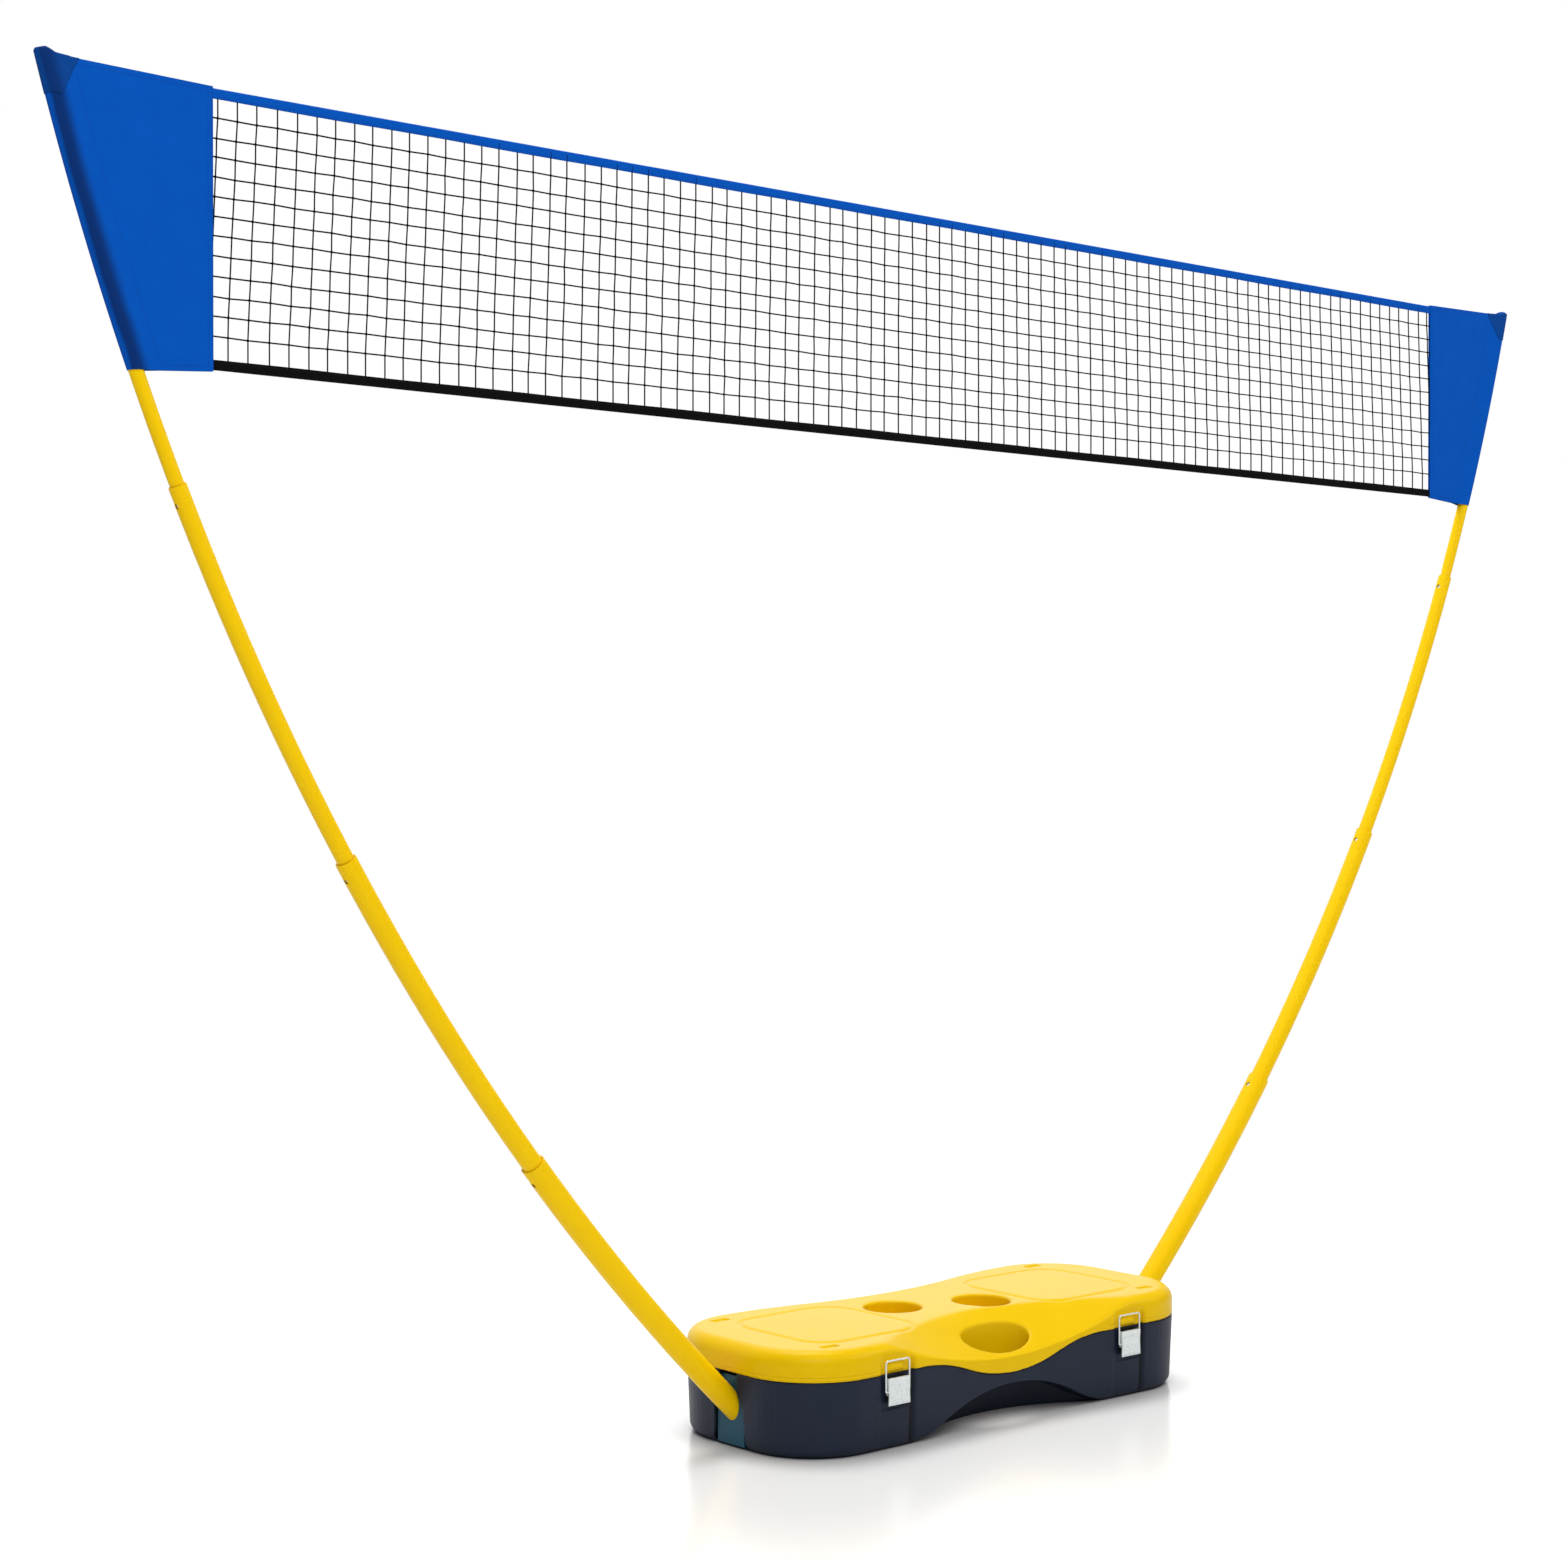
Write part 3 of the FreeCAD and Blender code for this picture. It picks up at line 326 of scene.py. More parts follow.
def moulded(node, name, voxel):
    """A fine even skin over the frame's solid, whose edges can be softened as a mould's are."""
    piece = bpy.data.objects.new(name, nodes[node].data.copy())
    scene.collection.objects.link(piece)
    alone(piece)
    bpy.ops.object.mode_set(mode="EDIT")
    bpy.ops.mesh.select_all(action="SELECT")
    bpy.ops.mesh.remove_doubles(threshold=0.00002)
    bpy.ops.object.mode_set(mode="OBJECT")
    finish_with(piece, "REMESH", mode="VOXEL", voxel_size=voxel, use_smooth_shade=True)
    return piece


def thin_out(piece, most):
    """Bring a dense skin down to a number of triangles."""
    count = sum(len(face.vertices) - 2 for face in piece.data.polygons)
    if count > most:
        finish_with(piece, "DECIMATE", ratio=most / count)
    alone(piece)
    bpy.ops.object.shade_smooth()


SHELL_TRIANGLES = 185000
SHELL_VOXEL = 0.0013
# Sizes in millimetres. A pair is where a step starts and where it is full: the channel beside
# each latch, the pad that the latch stands on, the front wall, and the slots for the sockets.
LATCH_X = {"left": -210, "right": 210}
CHANNEL_LEFT, CHANNEL_RIGHT, CHANNEL_DEPTH = (25.4, 26.8), (30.5, 36), 3.6
CHANNEL_FOOT, CHANNEL_HEAD = (3, 8), (103, 114)
PAD_LEFT, PAD_RIGHT, PAD_HEAD, PAD_DEPTH = (-26, -24.6), (26, 28), (46, 49), 0.9
WALL_FRONT, WALL_BACK = -137.4, -131
MOUTH_CLOSING, MOUTH_CLOSED_BY = (46, 73), 9.3
FOOT_CLOSING, FOOT_ROOM, FOOT_FLARE, FLARE_TOP = (44, 56), 1.4, 5.5, 30
END_WALL, END_FACE = 340, (354.2, 355.4)
SOCKET_SIDE, SOCKET_NEAR = 24.8, (26, 46)
STANDS_BELOW = 1.6


def latch_channels(piece, pad_depth):
    """The upright channel beside each latch, and the flat that each latch stands on."""
    spots, across, depth, height = measured(piece)
    for latch_x in LATCH_X.values():
        off = across - latch_x
        level = smooth_step(height, *CHANNEL_FOOT) * (1 - smooth_step(height, *CHANNEL_HEAD))
        channel = smooth_step(off, *CHANNEL_LEFT) * (1 - smooth_step(off, *CHANNEL_RIGHT))
        channel = channel * level * CHANNEL_DEPTH
        pad = smooth_step(off, *PAD_LEFT) * (1 - smooth_step(off, *PAD_RIGHT)) * pad_depth
        below = 1 - smooth_step(height, *PAD_HEAD)
        outside = depth < WALL_FRONT
        inside = (depth >= WALL_FRONT) & (depth < WALL_BACK)
        cut = np.where(outside, np.maximum(channel, pad * below), channel * inside)
        spots[:, 1] += cut / 1000
    set_points(piece, spots)


def socket_mouths(piece):
    """The end walls close in round the pole above its socket, and stand off the socket's foot."""
    spots, across, depth, height = measured(piece)
    closing = smooth_step(height, *MOUTH_CLOSING) * MOUTH_CLOSED_BY
    flare = FOOT_FLARE * (1 - np.clip(height / FLARE_TOP, 0, 1)) ** 2
    opening = (1 - smooth_step(height, *FOOT_CLOSING)) * (FOOT_ROOM + flare)
    near = 1 - smooth_step(abs(depth), *SOCKET_NEAR)
    out_here = smooth_step(abs(across), *END_FACE)
    shift = np.where(abs(across) > END_WALL, near * (opening - closing * out_here), 0)
    beside = abs(depth) > SOCKET_SIDE
    spots[:, 1] += np.sign(depth) * shift * beside / 1000
    set_points(piece, spots)


lower_shell = moulded("case_base", "lower_shell", SHELL_VOXEL)
ease(lower_shell, np.ones(len(lower_shell.data.vertices)), 3)
latch_channels(lower_shell, PAD_DEPTH)
socket_mouths(lower_shell)
spots = points_of(lower_shell)
spots[:, 2] = np.where(spots[:, 2] < STANDS_BELOW / 1000, 0, spots[:, 2])
set_points(lower_shell, spots)
thin_out(lower_shell, SHELL_TRIANGLES)

navy = Finish("base_plastic", specular_ior_level=0.22)
mottle = navy.noise(0.05, 3)
navy.feed("Base Color", navy.mix(mottle, colour(20, 29, 47), colour(27, 37, 57)))
scuffs = navy.step(navy.noise(0.02, 4, navy.spot(stretch=(1, 1, 6)), 0.7), 0.58, 0.75)
navy.feed("Roughness", 0.4 + mottle * 0.08 + scuffs * 0.12)
navy.relief(navy.noise(0.0011, 2), 0.00006)
# Painted shadow: the channels beside the latches lie in their own shadow, and it is painted into
# the colour here.
across = navy.part(navy.spot(), 0)
shade = 0
for channel_x in (-0.1816, 0.2384):
    off = navy.sum("ABSOLUTE", across - channel_x)
    shade = shade + (1 - navy.step(off, 0.0015, 0.0052))
shade = shade * (1 - navy.step(navy.part(navy.spot(), 1), -0.132, -0.128))
navy.feed("Base Color", navy.mix(shade * 0.9, navy.plain_colour(), colour(6, 8, 14)))
# Painted shade in the navy shell's creases, slots and hollows.
navy.crease(colour(5, 7, 13), 0.012)
navy.on(lower_shell)
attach(lower_shell, "case")
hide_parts("case_base")


# The lid. The same process in yellow: a flat top over both lobes, two drinks wells, and a front
# that hollows down to an oval hole for the hand. Shallow grooves frame a panel on each lobe.

# Sizes in millimetres. The hand hole and the wells are where the frame's solid has them.
HAND_Y, HAND_HALF_X, HAND_HALF_Y = -104, 56.5, 24
CUPS, CUP_RADIUS = ((-60, 23.5), (60, -18.5)), 38
CUP_LIP, HAND_LIP = (118, 124), (66, 72)
FRAME_X, FRAME_Y, FRAME_HALF, FRAME_CORNER = 201, -3, 90, 44
GROOVE_WIDTH, GROOVE_DEPTH, PANEL_RAISED = 3.2, 1.3, 0.5
LID_TOP = (126, 129)
# The rounds of smoothing were chosen on a skin of this voxel, in metres.
TRIED_VOXEL = 0.0021


def rounds_of(count):
    """As much smoothing as count rounds give at the voxel that they were chosen on."""
    return round(count * (TRIED_VOXEL / SHELL_VOXEL) ** 2)


def from_hand_hole(across, depth):
    """0 in the middle of the hand hole and 1 on its edge."""
    return np.sqrt((across / HAND_HALF_X) ** 2 + ((depth - HAND_Y) / HAND_HALF_Y) ** 2)


lid = moulded("case_lid", "lid_shell", SHELL_VOXEL)
# First the long ridge where the flat top goes over into the front's hollow.
_, across, depth, height = measured(lid)
in_front = smooth_step(-depth, 38, 50) * smooth_step(250 - abs(across), 0, 25)
by_the_hole = smooth_step(height - 62, 0, 14) * smooth_step(95 - abs(across), 0, 40)
above_rim = smooth_step(height, 78, 92) + by_the_hole
off_edge = 1 - smooth_step(-depth, 128, 137) * (1 - smooth_step(height, 100, 112))
off_hole = smooth_step(from_hand_hole(across, depth), 1.02, 1.25)
ease(lid, in_front * np.clip(above_rim, 0, 1) * off_edge * off_hole, rounds_of(45))
# Then the lips of the wells and of the hand hole, and last the whole skin a little.
_, across, depth, height = measured(lid)
from_lip = abs(from_hand_hole(across, depth) - 1)
lips = smooth_step(height, *HAND_LIP) * (1 - smooth_step(from_lip, 0.12, 0.3))
for cup_x, cup_y in CUPS:
    from_lip = abs(np.hypot(across - cup_x, depth - cup_y) - CUP_RADIUS)
    lips = np.maximum(lips, smooth_step(height, *CUP_LIP) * (1 - smooth_step(from_lip, 4, 10)))
ease(lid, lips, rounds_of(18))
ease(lid, np.ones(len(lid.data.vertices)), 2)
spots, across, depth, height = measured(lid)
for centre in (-FRAME_X, FRAME_X):
    side_x = abs(across - centre) - (FRAME_HALF - FRAME_CORNER)
    side_y = abs(depth - FRAME_Y) - (FRAME_HALF - FRAME_CORNER)
    outside = np.hypot(np.maximum(side_x, 0), np.maximum(side_y, 0))
    outline = outside + np.minimum(np.maximum(side_x, side_y), 0) - FRAME_CORNER
    groove = np.exp(-((outline / GROOVE_WIDTH) ** 2)) * GROOVE_DEPTH
    inside = smooth_step(-outline, 0, 9) * PANEL_RAISED
    spots[:, 2] += (inside - groove) * smooth_step(height, *LID_TOP) / 1000
set_points(lid, spots)
latch_channels(lid, 0)
thin_out(lid, SHELL_TRIANGLES)

yellow = Finish("lid_plastic", specular_ior_level=0.1)
mottle = yellow.noise(0.07, 3)
yellow.feed("Base Color", yellow.mix(mottle, colour(235, 190, 0), colour(242, 200, 2)))
scuffs = yellow.step(yellow.noise(0.018, 4, yellow.spot(stretch=(1, 5, 1)), 0.7), 0.6, 0.78)
yellow.feed("Roughness", 0.3 + mottle * 0.06 + scuffs * 0.12)
# Fine level lines run round the lid's rim, but not where the front dips.
RIM_LEVEL, RIM_LINE = 0.0949, 0.0022
level = yellow.part(yellow.spot(), 2)
off_dip = yellow.step(yellow.sum("ABSOLUTE", yellow.part(yellow.spot(), 0)), 0.168, 0.176)
off_dip = yellow.sum("MAXIMUM", off_dip, yellow.step(yellow.part(yellow.spot(), 1), -0.02, 0.0))
lines = yellow.sum("PINGPONG", level - RIM_LEVEL, RIM_LINE) / RIM_LINE
near_seam = (1 - yellow.step(level, 0.1025, 0.1035)) * off_dip
lip_lines = yellow.step(lines, 0.1, 0.35) * near_seam + (1 - near_seam)
yellow.relief(lip_lines * 4 + yellow.noise(0.0011, 2) * 0.5, 0.0001)
# Painted shade in the lid's creases, wells and hollows.
yellow.crease(colour(176, 128, 0), 0.012, 0.8)
yellow.on(lid)
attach(lid, "lid")
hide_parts("case_lid")


# The lid's hinge pins, the pole sockets and their screws. Drawn steel wire, teal moulded blocks
# that drop into the end walls, and two pan-head screws in each block.

teal = Finish("socket_plastic", specular_ior_level=0.25)
mottle = teal.noise(0.03, 3)
teal.feed("Base Color", teal.mix(mottle, colour(18, 68, 90), colour(28, 82, 104)))
teal.feed("Roughness", 0.4 + mottle * 0.1)
teal.relief(teal.noise(0.0009, 2), 0.00005)
steel = Finish("spring_steel", metallic=1.0)
streaks = steel.noise(0.0008, 3, steel.spot(stretch=(0.05, 1, 1)))
steel.feed("Base Color", steel.mix(streaks, colour(170, 172, 176), colour(205, 207, 210)))
steel.feed("Roughness", 0.22 + streaks * 0.2)
steel.on(nodes["lid_hinge_pins"])
for side in ("left", "right"):
    teal.on(nodes["pole_socket_" + side])
    steel.on(nodes["socket_screws_" + side])


# The two draw latches. Pressed zinc-plated sheet: a plate riveted in the recess, a lever on a
# pin, and a wire bail that hooks over the keeper on the lid.

zinc = Finish("latch_plating", metallic=0.5)
brushing = zinc.noise(0.0012, 3, zinc.spot(stretch=(1, 1, 0.08)))
bloom = zinc.noise(0.006, 3)
zinc.feed("Base Color", zinc.mix(bloom, colour(222, 229, 229), colour(242, 247, 246)))
zinc.feed("Roughness", 0.2 + brushing * 0.1 + bloom * 0.08)
# Painted shade: the plates get a near-black finish that stands for the shadow in the recess behind
# each lever and bail.
plate_painted_shade = Finish("latch_plate_dark", metallic=1.0)
bloom = plate_painted_shade.noise(0.004, 3)
plate_painted_shade.feed("Base Color", plate_painted_shade.mix(bloom, colour(38, 40, 43), colour(62, 64, 68)))
plate_painted_shade.feed("Roughness", 0.42 + bloom * 0.12)
LEVER_VOXEL = 0.0003
LEVER_TRIANGLES = 60000
# The lever's foot, top, half width and face, and its pressed rim and waist, in millimetres.
LEVER_FOOT, LEVER_TOP, LEVER_HALF, LEVER_FACE = 56, 89.5, 18, -147.7
RIM_WIDTH, RIM_RAISED, WAIST = (1.3, 2.3), 0.4, 0.7
for side, latch_x in LATCH_X.items():
    lever = moulded("latch_lever_" + side, "lever_face_" + side, LEVER_VOXEL)
    ease(lever, np.ones(len(lever.data.vertices)), 6)
    spots, across, depth, height = measured(lever)
    from_end = np.minimum(height - LEVER_FOOT, LEVER_TOP - height)
    from_rim = np.minimum(LEVER_HALF - abs(across - latch_x), from_end)
    rim = (1 - smooth_step(from_rim, *RIM_WIDTH)) * RIM_RAISED
    climb = np.clip((height - LEVER_FOOT) / (LEVER_TOP - LEVER_FOOT), 0, 1)
    waist = WAIST * np.sin(climb * math.pi) ** 2
    spots[:, 1] -= np.where(depth < LEVER_FACE, rim, 0) / 1000
    spots[:, 0] -= (across - latch_x) / LEVER_HALF * waist / 1000
    set_points(lever, spots)
    thin_out(lever, LEVER_TRIANGLES)
    zinc.on(lever)
    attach(lever, "latch_lever_" + side)
    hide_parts("latch_lever_" + side)
    plate_painted_shade.on(nodes["latch_plate_" + side])
    for piece in ("rivets", "pin", "bail"):
        zinc.on(nodes["latch_%s_%s" % (piece, side)])


# The telescopic poles. Thin steel tube bent to one circle and sprayed yellow, with plastic
# guide rings in the mouths, steel snap buttons on flat springs, and a rubber plug in the tip.

lacquer = Finish("pole_lacquer", specular_ior_level=0.1)
mottle = lacquer.noise(0.09, 2)
lacquer.feed("Base Color", lacquer.mix(mottle, colour(252, 203, 0), colour(255, 211, 0)))
scuffs = lacquer.step(lacquer.noise(0.006, 4, None, 0.7), 0.62, 0.78)
lacquer.feed("Roughness", 0.3 + mottle * 0.05 + scuffs * 0.05)
lacquer.relief(lacquer.noise(0.02, 1), 0.00003)
ring_plastic = Finish("bush_plastic", specular_ior_level=0.2)
grain = ring_plastic.noise(0.001, 2)
ring_plastic.feed("Base Color", ring_plastic.mix(grain, colour(214, 164, 4), colour(226, 176, 8)))
ring_plastic.feed("Roughness", 0.45 + grain * 0.15)
rubber = Finish("cap_rubber", specular_ior_level=0.2)
grain = rubber.noise(0.0007, 2)
rubber.feed("Base Color", rubber.mix(grain, colour(22, 22, 23), colour(34, 34, 35)))
rubber.feed("Roughness", 0.7 + grain * 0.15)
button_steel = Finish("button_steel", metallic=1.0)
grain = button_steel.noise(0.001, 2)
button_grey = button_steel.mix(grain, colour(180, 181, 184), colour(210, 211, 214))
button_steel.feed("Base Color", button_grey)
button_steel.feed("Roughness", 0.2 + grain * 0.15)
for side in ("left", "right"):
    for name in ("lower", "second", "third", "top"):
        lacquer.on(nodes["%s_tube_%s" % (name, side)])
    for name in ("lower", "second", "third"):
        ring_plastic.on(nodes["%s_bush_%s" % (name, side)])
    for count in (1, 2, 3):
        button_steel.on(nodes["snap_button_%s_%d" % (side, count)])
        steel.on(nodes["button_spring_%s_%d" % (side, count)])
    rubber.on(nodes["pole_tip_cap_" + side])


# The net. Black cord knotted into 24 by 21 mm squares. Its ends run on between the two layers
# of the end panels, so that cord still fills the opening when the poles are pushed together.

# The circle that the poles are bent to, in the plane of the net.
CURVE_RADIUS = 3.230
CURVE_CENTRE = (-1.861, 2.404)


def pole_reach(level):
    """How far out the pole's axis is at one height."""
    return math.sqrt(CURVE_RADIUS ** 2 - (CURVE_CENTRE[1] - level) ** 2) + CURVE_CENTRE[0]


NET_HALF = 1.0645
NET_TOP = 1.5485
NET_FOOT = 1.252
NET_MIDDLE = 1.4
BAND_HEIGHT = 0.011
CORD_RADIUS = 0.00092
# How much further apart the uprights stand for each metre down, and how unevenly all of it lies.
NET_FAN = 0.048
UPRIGHT_LEAN = 0.0012
KNOT_STRAY = 0.0005
# The rows end this far inside the pole's axis, and the knots keep clear of their ends.
END_INSIDE = 0.021
END_CLEAR = 0.004
# The uprights end this far inside the net's edges, and pass beside the rows.
EDGE_INSIDE = 0.004
CORD_ASIDE = 0.0002
# The squares of the open net, and those between the layers of each end panel.
SQUARES = 88
MORE_SQUARES = 7
row_levels = [
    1.2875, 1.309, 1.3295, 1.351, 1.3725, 1.394, 1.414, 1.435, 1.4555, 1.4765, 1.4965, 1.5175
]
column_pitch = 2 * NET_HALF / SQUARES
column_counts = range(-MORE_SQUARES, SQUARES + MORE_SQUARES + 1)
columns = [-NET_HALF + column_pitch * count for count in column_counts]
random.seed(5)
crossings = {}
for i, place in enumerate(columns):
    lean = random.uniform(-UPRIGHT_LEAN, UPRIGHT_LEAN)
    for j, level in enumerate(row_levels):
        fanned = place * (1 + NET_FAN * (NET_MIDDLE - level))
        aside = random.uniform(-KNOT_STRAY, KNOT_STRAY)
        crossings[i, j] = (fanned + lean + aside, level + random.uniform(-KNOT_STRAY, KNOT_STRAY))


def net_end(level):
    """How far out the cords go at one height."""
    return pole_reach(level) - END_INSIDE


cord_paths = []
for i in range(len(columns)):
    run = [crossings[i, j] for j in range(len(row_levels))]
    run = [(run[0][0], NET_FOOT + EDGE_INSIDE), *run, (run[-1][0], NET_TOP - EDGE_INSIDE)]
    run = [spot for spot in run if abs(spot[0]) < net_end(spot[1])]
    if len(run) > 1:
        cord_paths.append([(x, -CORD_ASIDE, z) for x, z in run])
for j, level in enumerate(row_levels):
    run = [crossings[i, j] for i in range(len(columns))]
    run = [spot for spot in run if abs(spot[0]) < net_end(level) - END_CLEAR]
    run = [(-net_end(level), level), *run, (net_end(level), level)]
    cord_paths.append([(x, CORD_ASIDE, z) for x, z in run])
cords = bpy.data.curves.new("net_cords", "CURVE")
cords.dimensions = "3D"
cords.bevel_depth = CORD_RADIUS
cords.bevel_resolution = 1
cords.use_fill_caps = True
for path in cord_paths:
    strand = cords.splines.new("POLY")
    strand.points.add(len(path) - 1)
    for point, spot in zip(strand.points, path):
        point.co = (*spot, 1)
net = bpy.data.objects.new("net_cords", cords)
scene.collection.objects.link(net)
alone(net)
bpy.ops.object.convert(target="MESH")
net = bpy.context.object


def many(name, pattern, spots):
    """Copies of one small closed shape at many places, as one mesh."""
    shape = points_of(pattern)
    faces = [list(face.vertices) for face in pattern.data.polygons]
    all_points = np.concatenate([shape + np.array(spot) for spot in spots])
    all_faces = []
    for first in range(0, len(all_points), len(shape)):
        all_faces += [[first + corner for corner in face] for face in faces]
    mesh = bpy.data.meshes.new(name)
    mesh.from_pydata(all_points.tolist(), [], all_faces)
    piece = bpy.data.objects.new(name, mesh)
    scene.collection.objects.link(piece)
    bpy.data.objects.remove(pattern)
    alone(piece)
    bpy.ops.object.shade_smooth()
    return piece


bpy.ops.object.select_all(action="DESELECT")
bpy.ops.mesh.primitive_uv_sphere_add(segments=6, ring_count=5, radius=CORD_RADIUS * 1.75)
knot = bpy.context.object
knot_spots = [(x, 0, z) for x, z in crossings.values() if abs(x) < net_end(z) - END_CLEAR]
knots = many("net_knots", knot, knot_spots)
alone(net)
bpy.ops.object.shade_smooth()

cord_black = Finish("net_cord", specular_ior_level=0.05)
twist = cord_black.noise(0.0006, 2)
cord_black.feed("Base Color", cord_black.mix(twist, colour(6, 6, 7), colour(17, 17, 19)))
cord_black.feed("Roughness", 0.62 + twist * 0.2)
cord_black.relief(twist, 0.0002)
cord_black.on(net, knots)
for piece in (net, knots):
    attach(piece, "net")
    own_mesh(piece)
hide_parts("net_mesh")


# The net's two edge bands. Woven tape folded over the outermost cord and sewn: blue along the
# top, black along the foot. Their ends go on between the end panels' layers, the foot band's as
# far as the pole.

def cloth_grid(name, across, along, place):
    """A grid of cloth, across by along squares, that a function puts where the cloth lies.

    The function gets two shares, 0 to 1, and gives the places and the unrolled cloth's map."""
    bpy.ops.object.select_all(action="DESELECT")
    bpy.ops.mesh.primitive_grid_add(x_subdivisions=across, y_subdivisions=along, size=1)
    piece = bpy.context.object
    piece.name = name
    piece.data.name = name
    share = points_of(piece)[:, :2] + 0.5
    spots, unrolled = place(share[:, 0], share[:, 1])
    set_points(piece, spots)
    corners = np.empty(len(piece.data.loops), dtype=np.int32)
    piece.data.loops.foreach_get("vertex_index", corners)
    piece.data.uv_layers[0].data.foreach_set("uv", unrolled[corners].astype(np.float32).ravel())
    return piece


BAND_GAP = 0.0011
BAND_CLOTH = 0.0005
# The bend over the cord takes this share of the tape's half width, and is this high.
BEND_SHARE = 0.12
BEND_HEIGHT = 0.0008
BEND_ROOM = 0.001
TAPE_HALF = 0.0115
FREE_EDGE_WAVE = 0.00025
BAND_COLUMNS, BAND_ROWS = 480, 16


def tape_sway(x):
    """How far a tape wanders out of the net's plane along its length."""
    return 0.00006 * np.sin(x * 9.0) + 0.00008 * np.sin(x * 61 + 1)


def band_place(edge, fold, reach):
    """A tape folded lengthwise over the cord at one edge; fold is 1 at the top and -1 below."""
    def place(along, around):
        turn = (around - 0.5) * 2
        flat = BAND_HEIGHT - BEND_ROOM
        down = np.clip((abs(turn) - BEND_SHARE) / (1 - BEND_SHARE), 0, 1) * flat
        bend = np.clip(abs(turn) / BEND_SHARE, 0, 1) * math.pi / 2
        x = (along - 0.5) * 2 * reach
        y = np.sign(turn) * np.sin(bend) * (BAND_GAP + BAND_CLOTH) / 2 + tape_sway(x)
        z = edge - fold * (BAND_CLOTH / 2 + (1 - np.cos(bend)) * BEND_HEIGHT + down)
        z = z + FREE_EDGE_WAVE * np.sin(x * 23 + fold) * down / flat
        return np.stack([x, y, z], -1), np.stack([x, turn * TAPE_HALF], -1)
    return place


BAND_REACH = {
    "top_band": NET_HALF + 0.022,
    "foot_band": net_end(NET_FOOT + BAND_HEIGHT / 2) - 0.001,
}
# Each band's name, its edge of the net, and the way that it is folded.
BANDS = (("top_band", NET_TOP, 1), ("foot_band", NET_FOOT, -1))
bands = {}
for name, edge, fold in BANDS:
    folded = band_place(edge, fold, BAND_REACH[name])
    bands[name] = cloth_grid(name, BAND_COLUMNS, BAND_ROWS, folded)
    finish_with(bands[name], "SOLIDIFY", thickness=BAND_CLOTH, offset=0)
    alone(bands[name])
    bpy.ops.object.shade_smooth()

PANEL_BLUE = ((0, 78, 180), (0, 92, 196))


def woven(name, dark, light, thread, roughness, **sockets):
    """Plain weave on unrolled cloth: threads over and under each other, thread metres apart."""
    cloth = Finish(name, **sockets)
    place = cloth.spot("UV")
    warp = cloth.sum("SINE", cloth.part(place, 0) * (math.pi / thread))
    weft = cloth.sum("SINE", cloth.part(place, 1) * (math.pi / thread))
    weave = warp * weft * 0.5 + 0.5
    shade = cloth.noise(0.03, 3, place)
    cloth.feed("Base Color", cloth.mix(shade * 0.6 + weave * 0.4, colour(*dark), colour(*light)))
    cloth.feed("Roughness", roughness + weave * 0.1)
    cloth.relief(weave, thread * 0.12)
    return cloth


blue_tape = woven("net_cloth_tape", *PANEL_BLUE, 0.0007, 0.7, specular_ior_level=0.06)
blue_tape.on(bands["top_band"])
black_tape = woven("foot_band", (6, 6, 8), (18, 18, 20), 0.0008, 0.75, specular_ior_level=0.06)
black_tape.on(bands["foot_band"])
for name, node, slot in (
    ("top_band", "net_top_band", "net_cloth"),
    ("foot_band", "net_bottom_band", "foot_band"),
):
    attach(bands[name], "net")
    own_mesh(bands[name])
    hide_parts(node)
    2 * BAND_REACH[name]


# The end panels. Blue polyester sewn double: it comes from the net's edge, goes round the pole
# as a sleeve and back, so that the net's end lies between the two layers.

# The tip's place on the pole's circle, and how far the sleeve goes down from it and past it.
TIP_ANGLE = math.radians(15.32)
SLEEVE_LENGTH = 0.323
SLEEVE_RISE = 0.004
# The cloth's thickness, the room between its layers, and the sleeve's inner radius. Both layers
# lie flat from SEAM_REACH off the pole's axis.
CLOTH = 0.0005
LAYER_GAP = 0.0024
SLEEVE_INSIDE = 0.0086
SEAM_REACH = 0.030
PANEL_TOP = NET_TOP + 0.0015
PANEL_FOOT = NET_FOOT - 0.0015
PANEL_COLUMNS, PANEL_ROWS = 112, 64
HEM_ROWS, HEM_ROW = 2, 0.0016
# The shares of the grid's half that go round the pole, and down to the flat beside it.
ROUND_SHARE, BESIDE_SHARE = 0.34, 0.46
PANEL_RIPPLE = 0.0006


def half_run(around):
    """How far a column is from the cloth's middle, 0 to 1, and the face that it is on."""
    share = (around - 0.5) * 2
    return abs(share), np.sign(share + 1e-9)


def pole_point(angle, side):
    """The point of the pole's axis at an angle on its circle."""
    return (
        side * (CURVE_CENTRE[0] + CURVE_RADIUS * np.cos(angle)),
        CURVE_CENTRE[1] - CURVE_RADIUS * np.sin(angle),
    )


def round_the_pole(run, extra):
    """The cloth's way from the outermost line of the pole inwards, run metres along the cloth.

    Gives how far in from the pole's axis that is, and how far out of the net's plane."""
    radius = SLEEVE_INSIDE + CLOTH / 2 + extra
    lying = LAYER_GAP / 2 + CLOTH / 2 + extra
    lean = math.asin((radius - lying) / SEAM_REACH)
    arc = radius * (math.pi / 2 + lean)
    start_in, start_out = radius * math.sin(lean), radius * math.cos(lean)
    slope = math.hypot(SEAM_REACH - start_in, start_out - lying)
    turn = np.clip(run, 0, arc) / radius
    down = np.clip((run - arc) / slope, 0, 1)
    inward = np.where(run < arc, -radius * np.cos(turn), start_in + (SEAM_REACH - start_in) * down)
    out = np.where(run < arc, radius * np.sin(turn), start_out + (lying - start_out) * down)
    inward = inward + np.maximum(run - arc - slope, 0)
    return inward, out, arc, slope


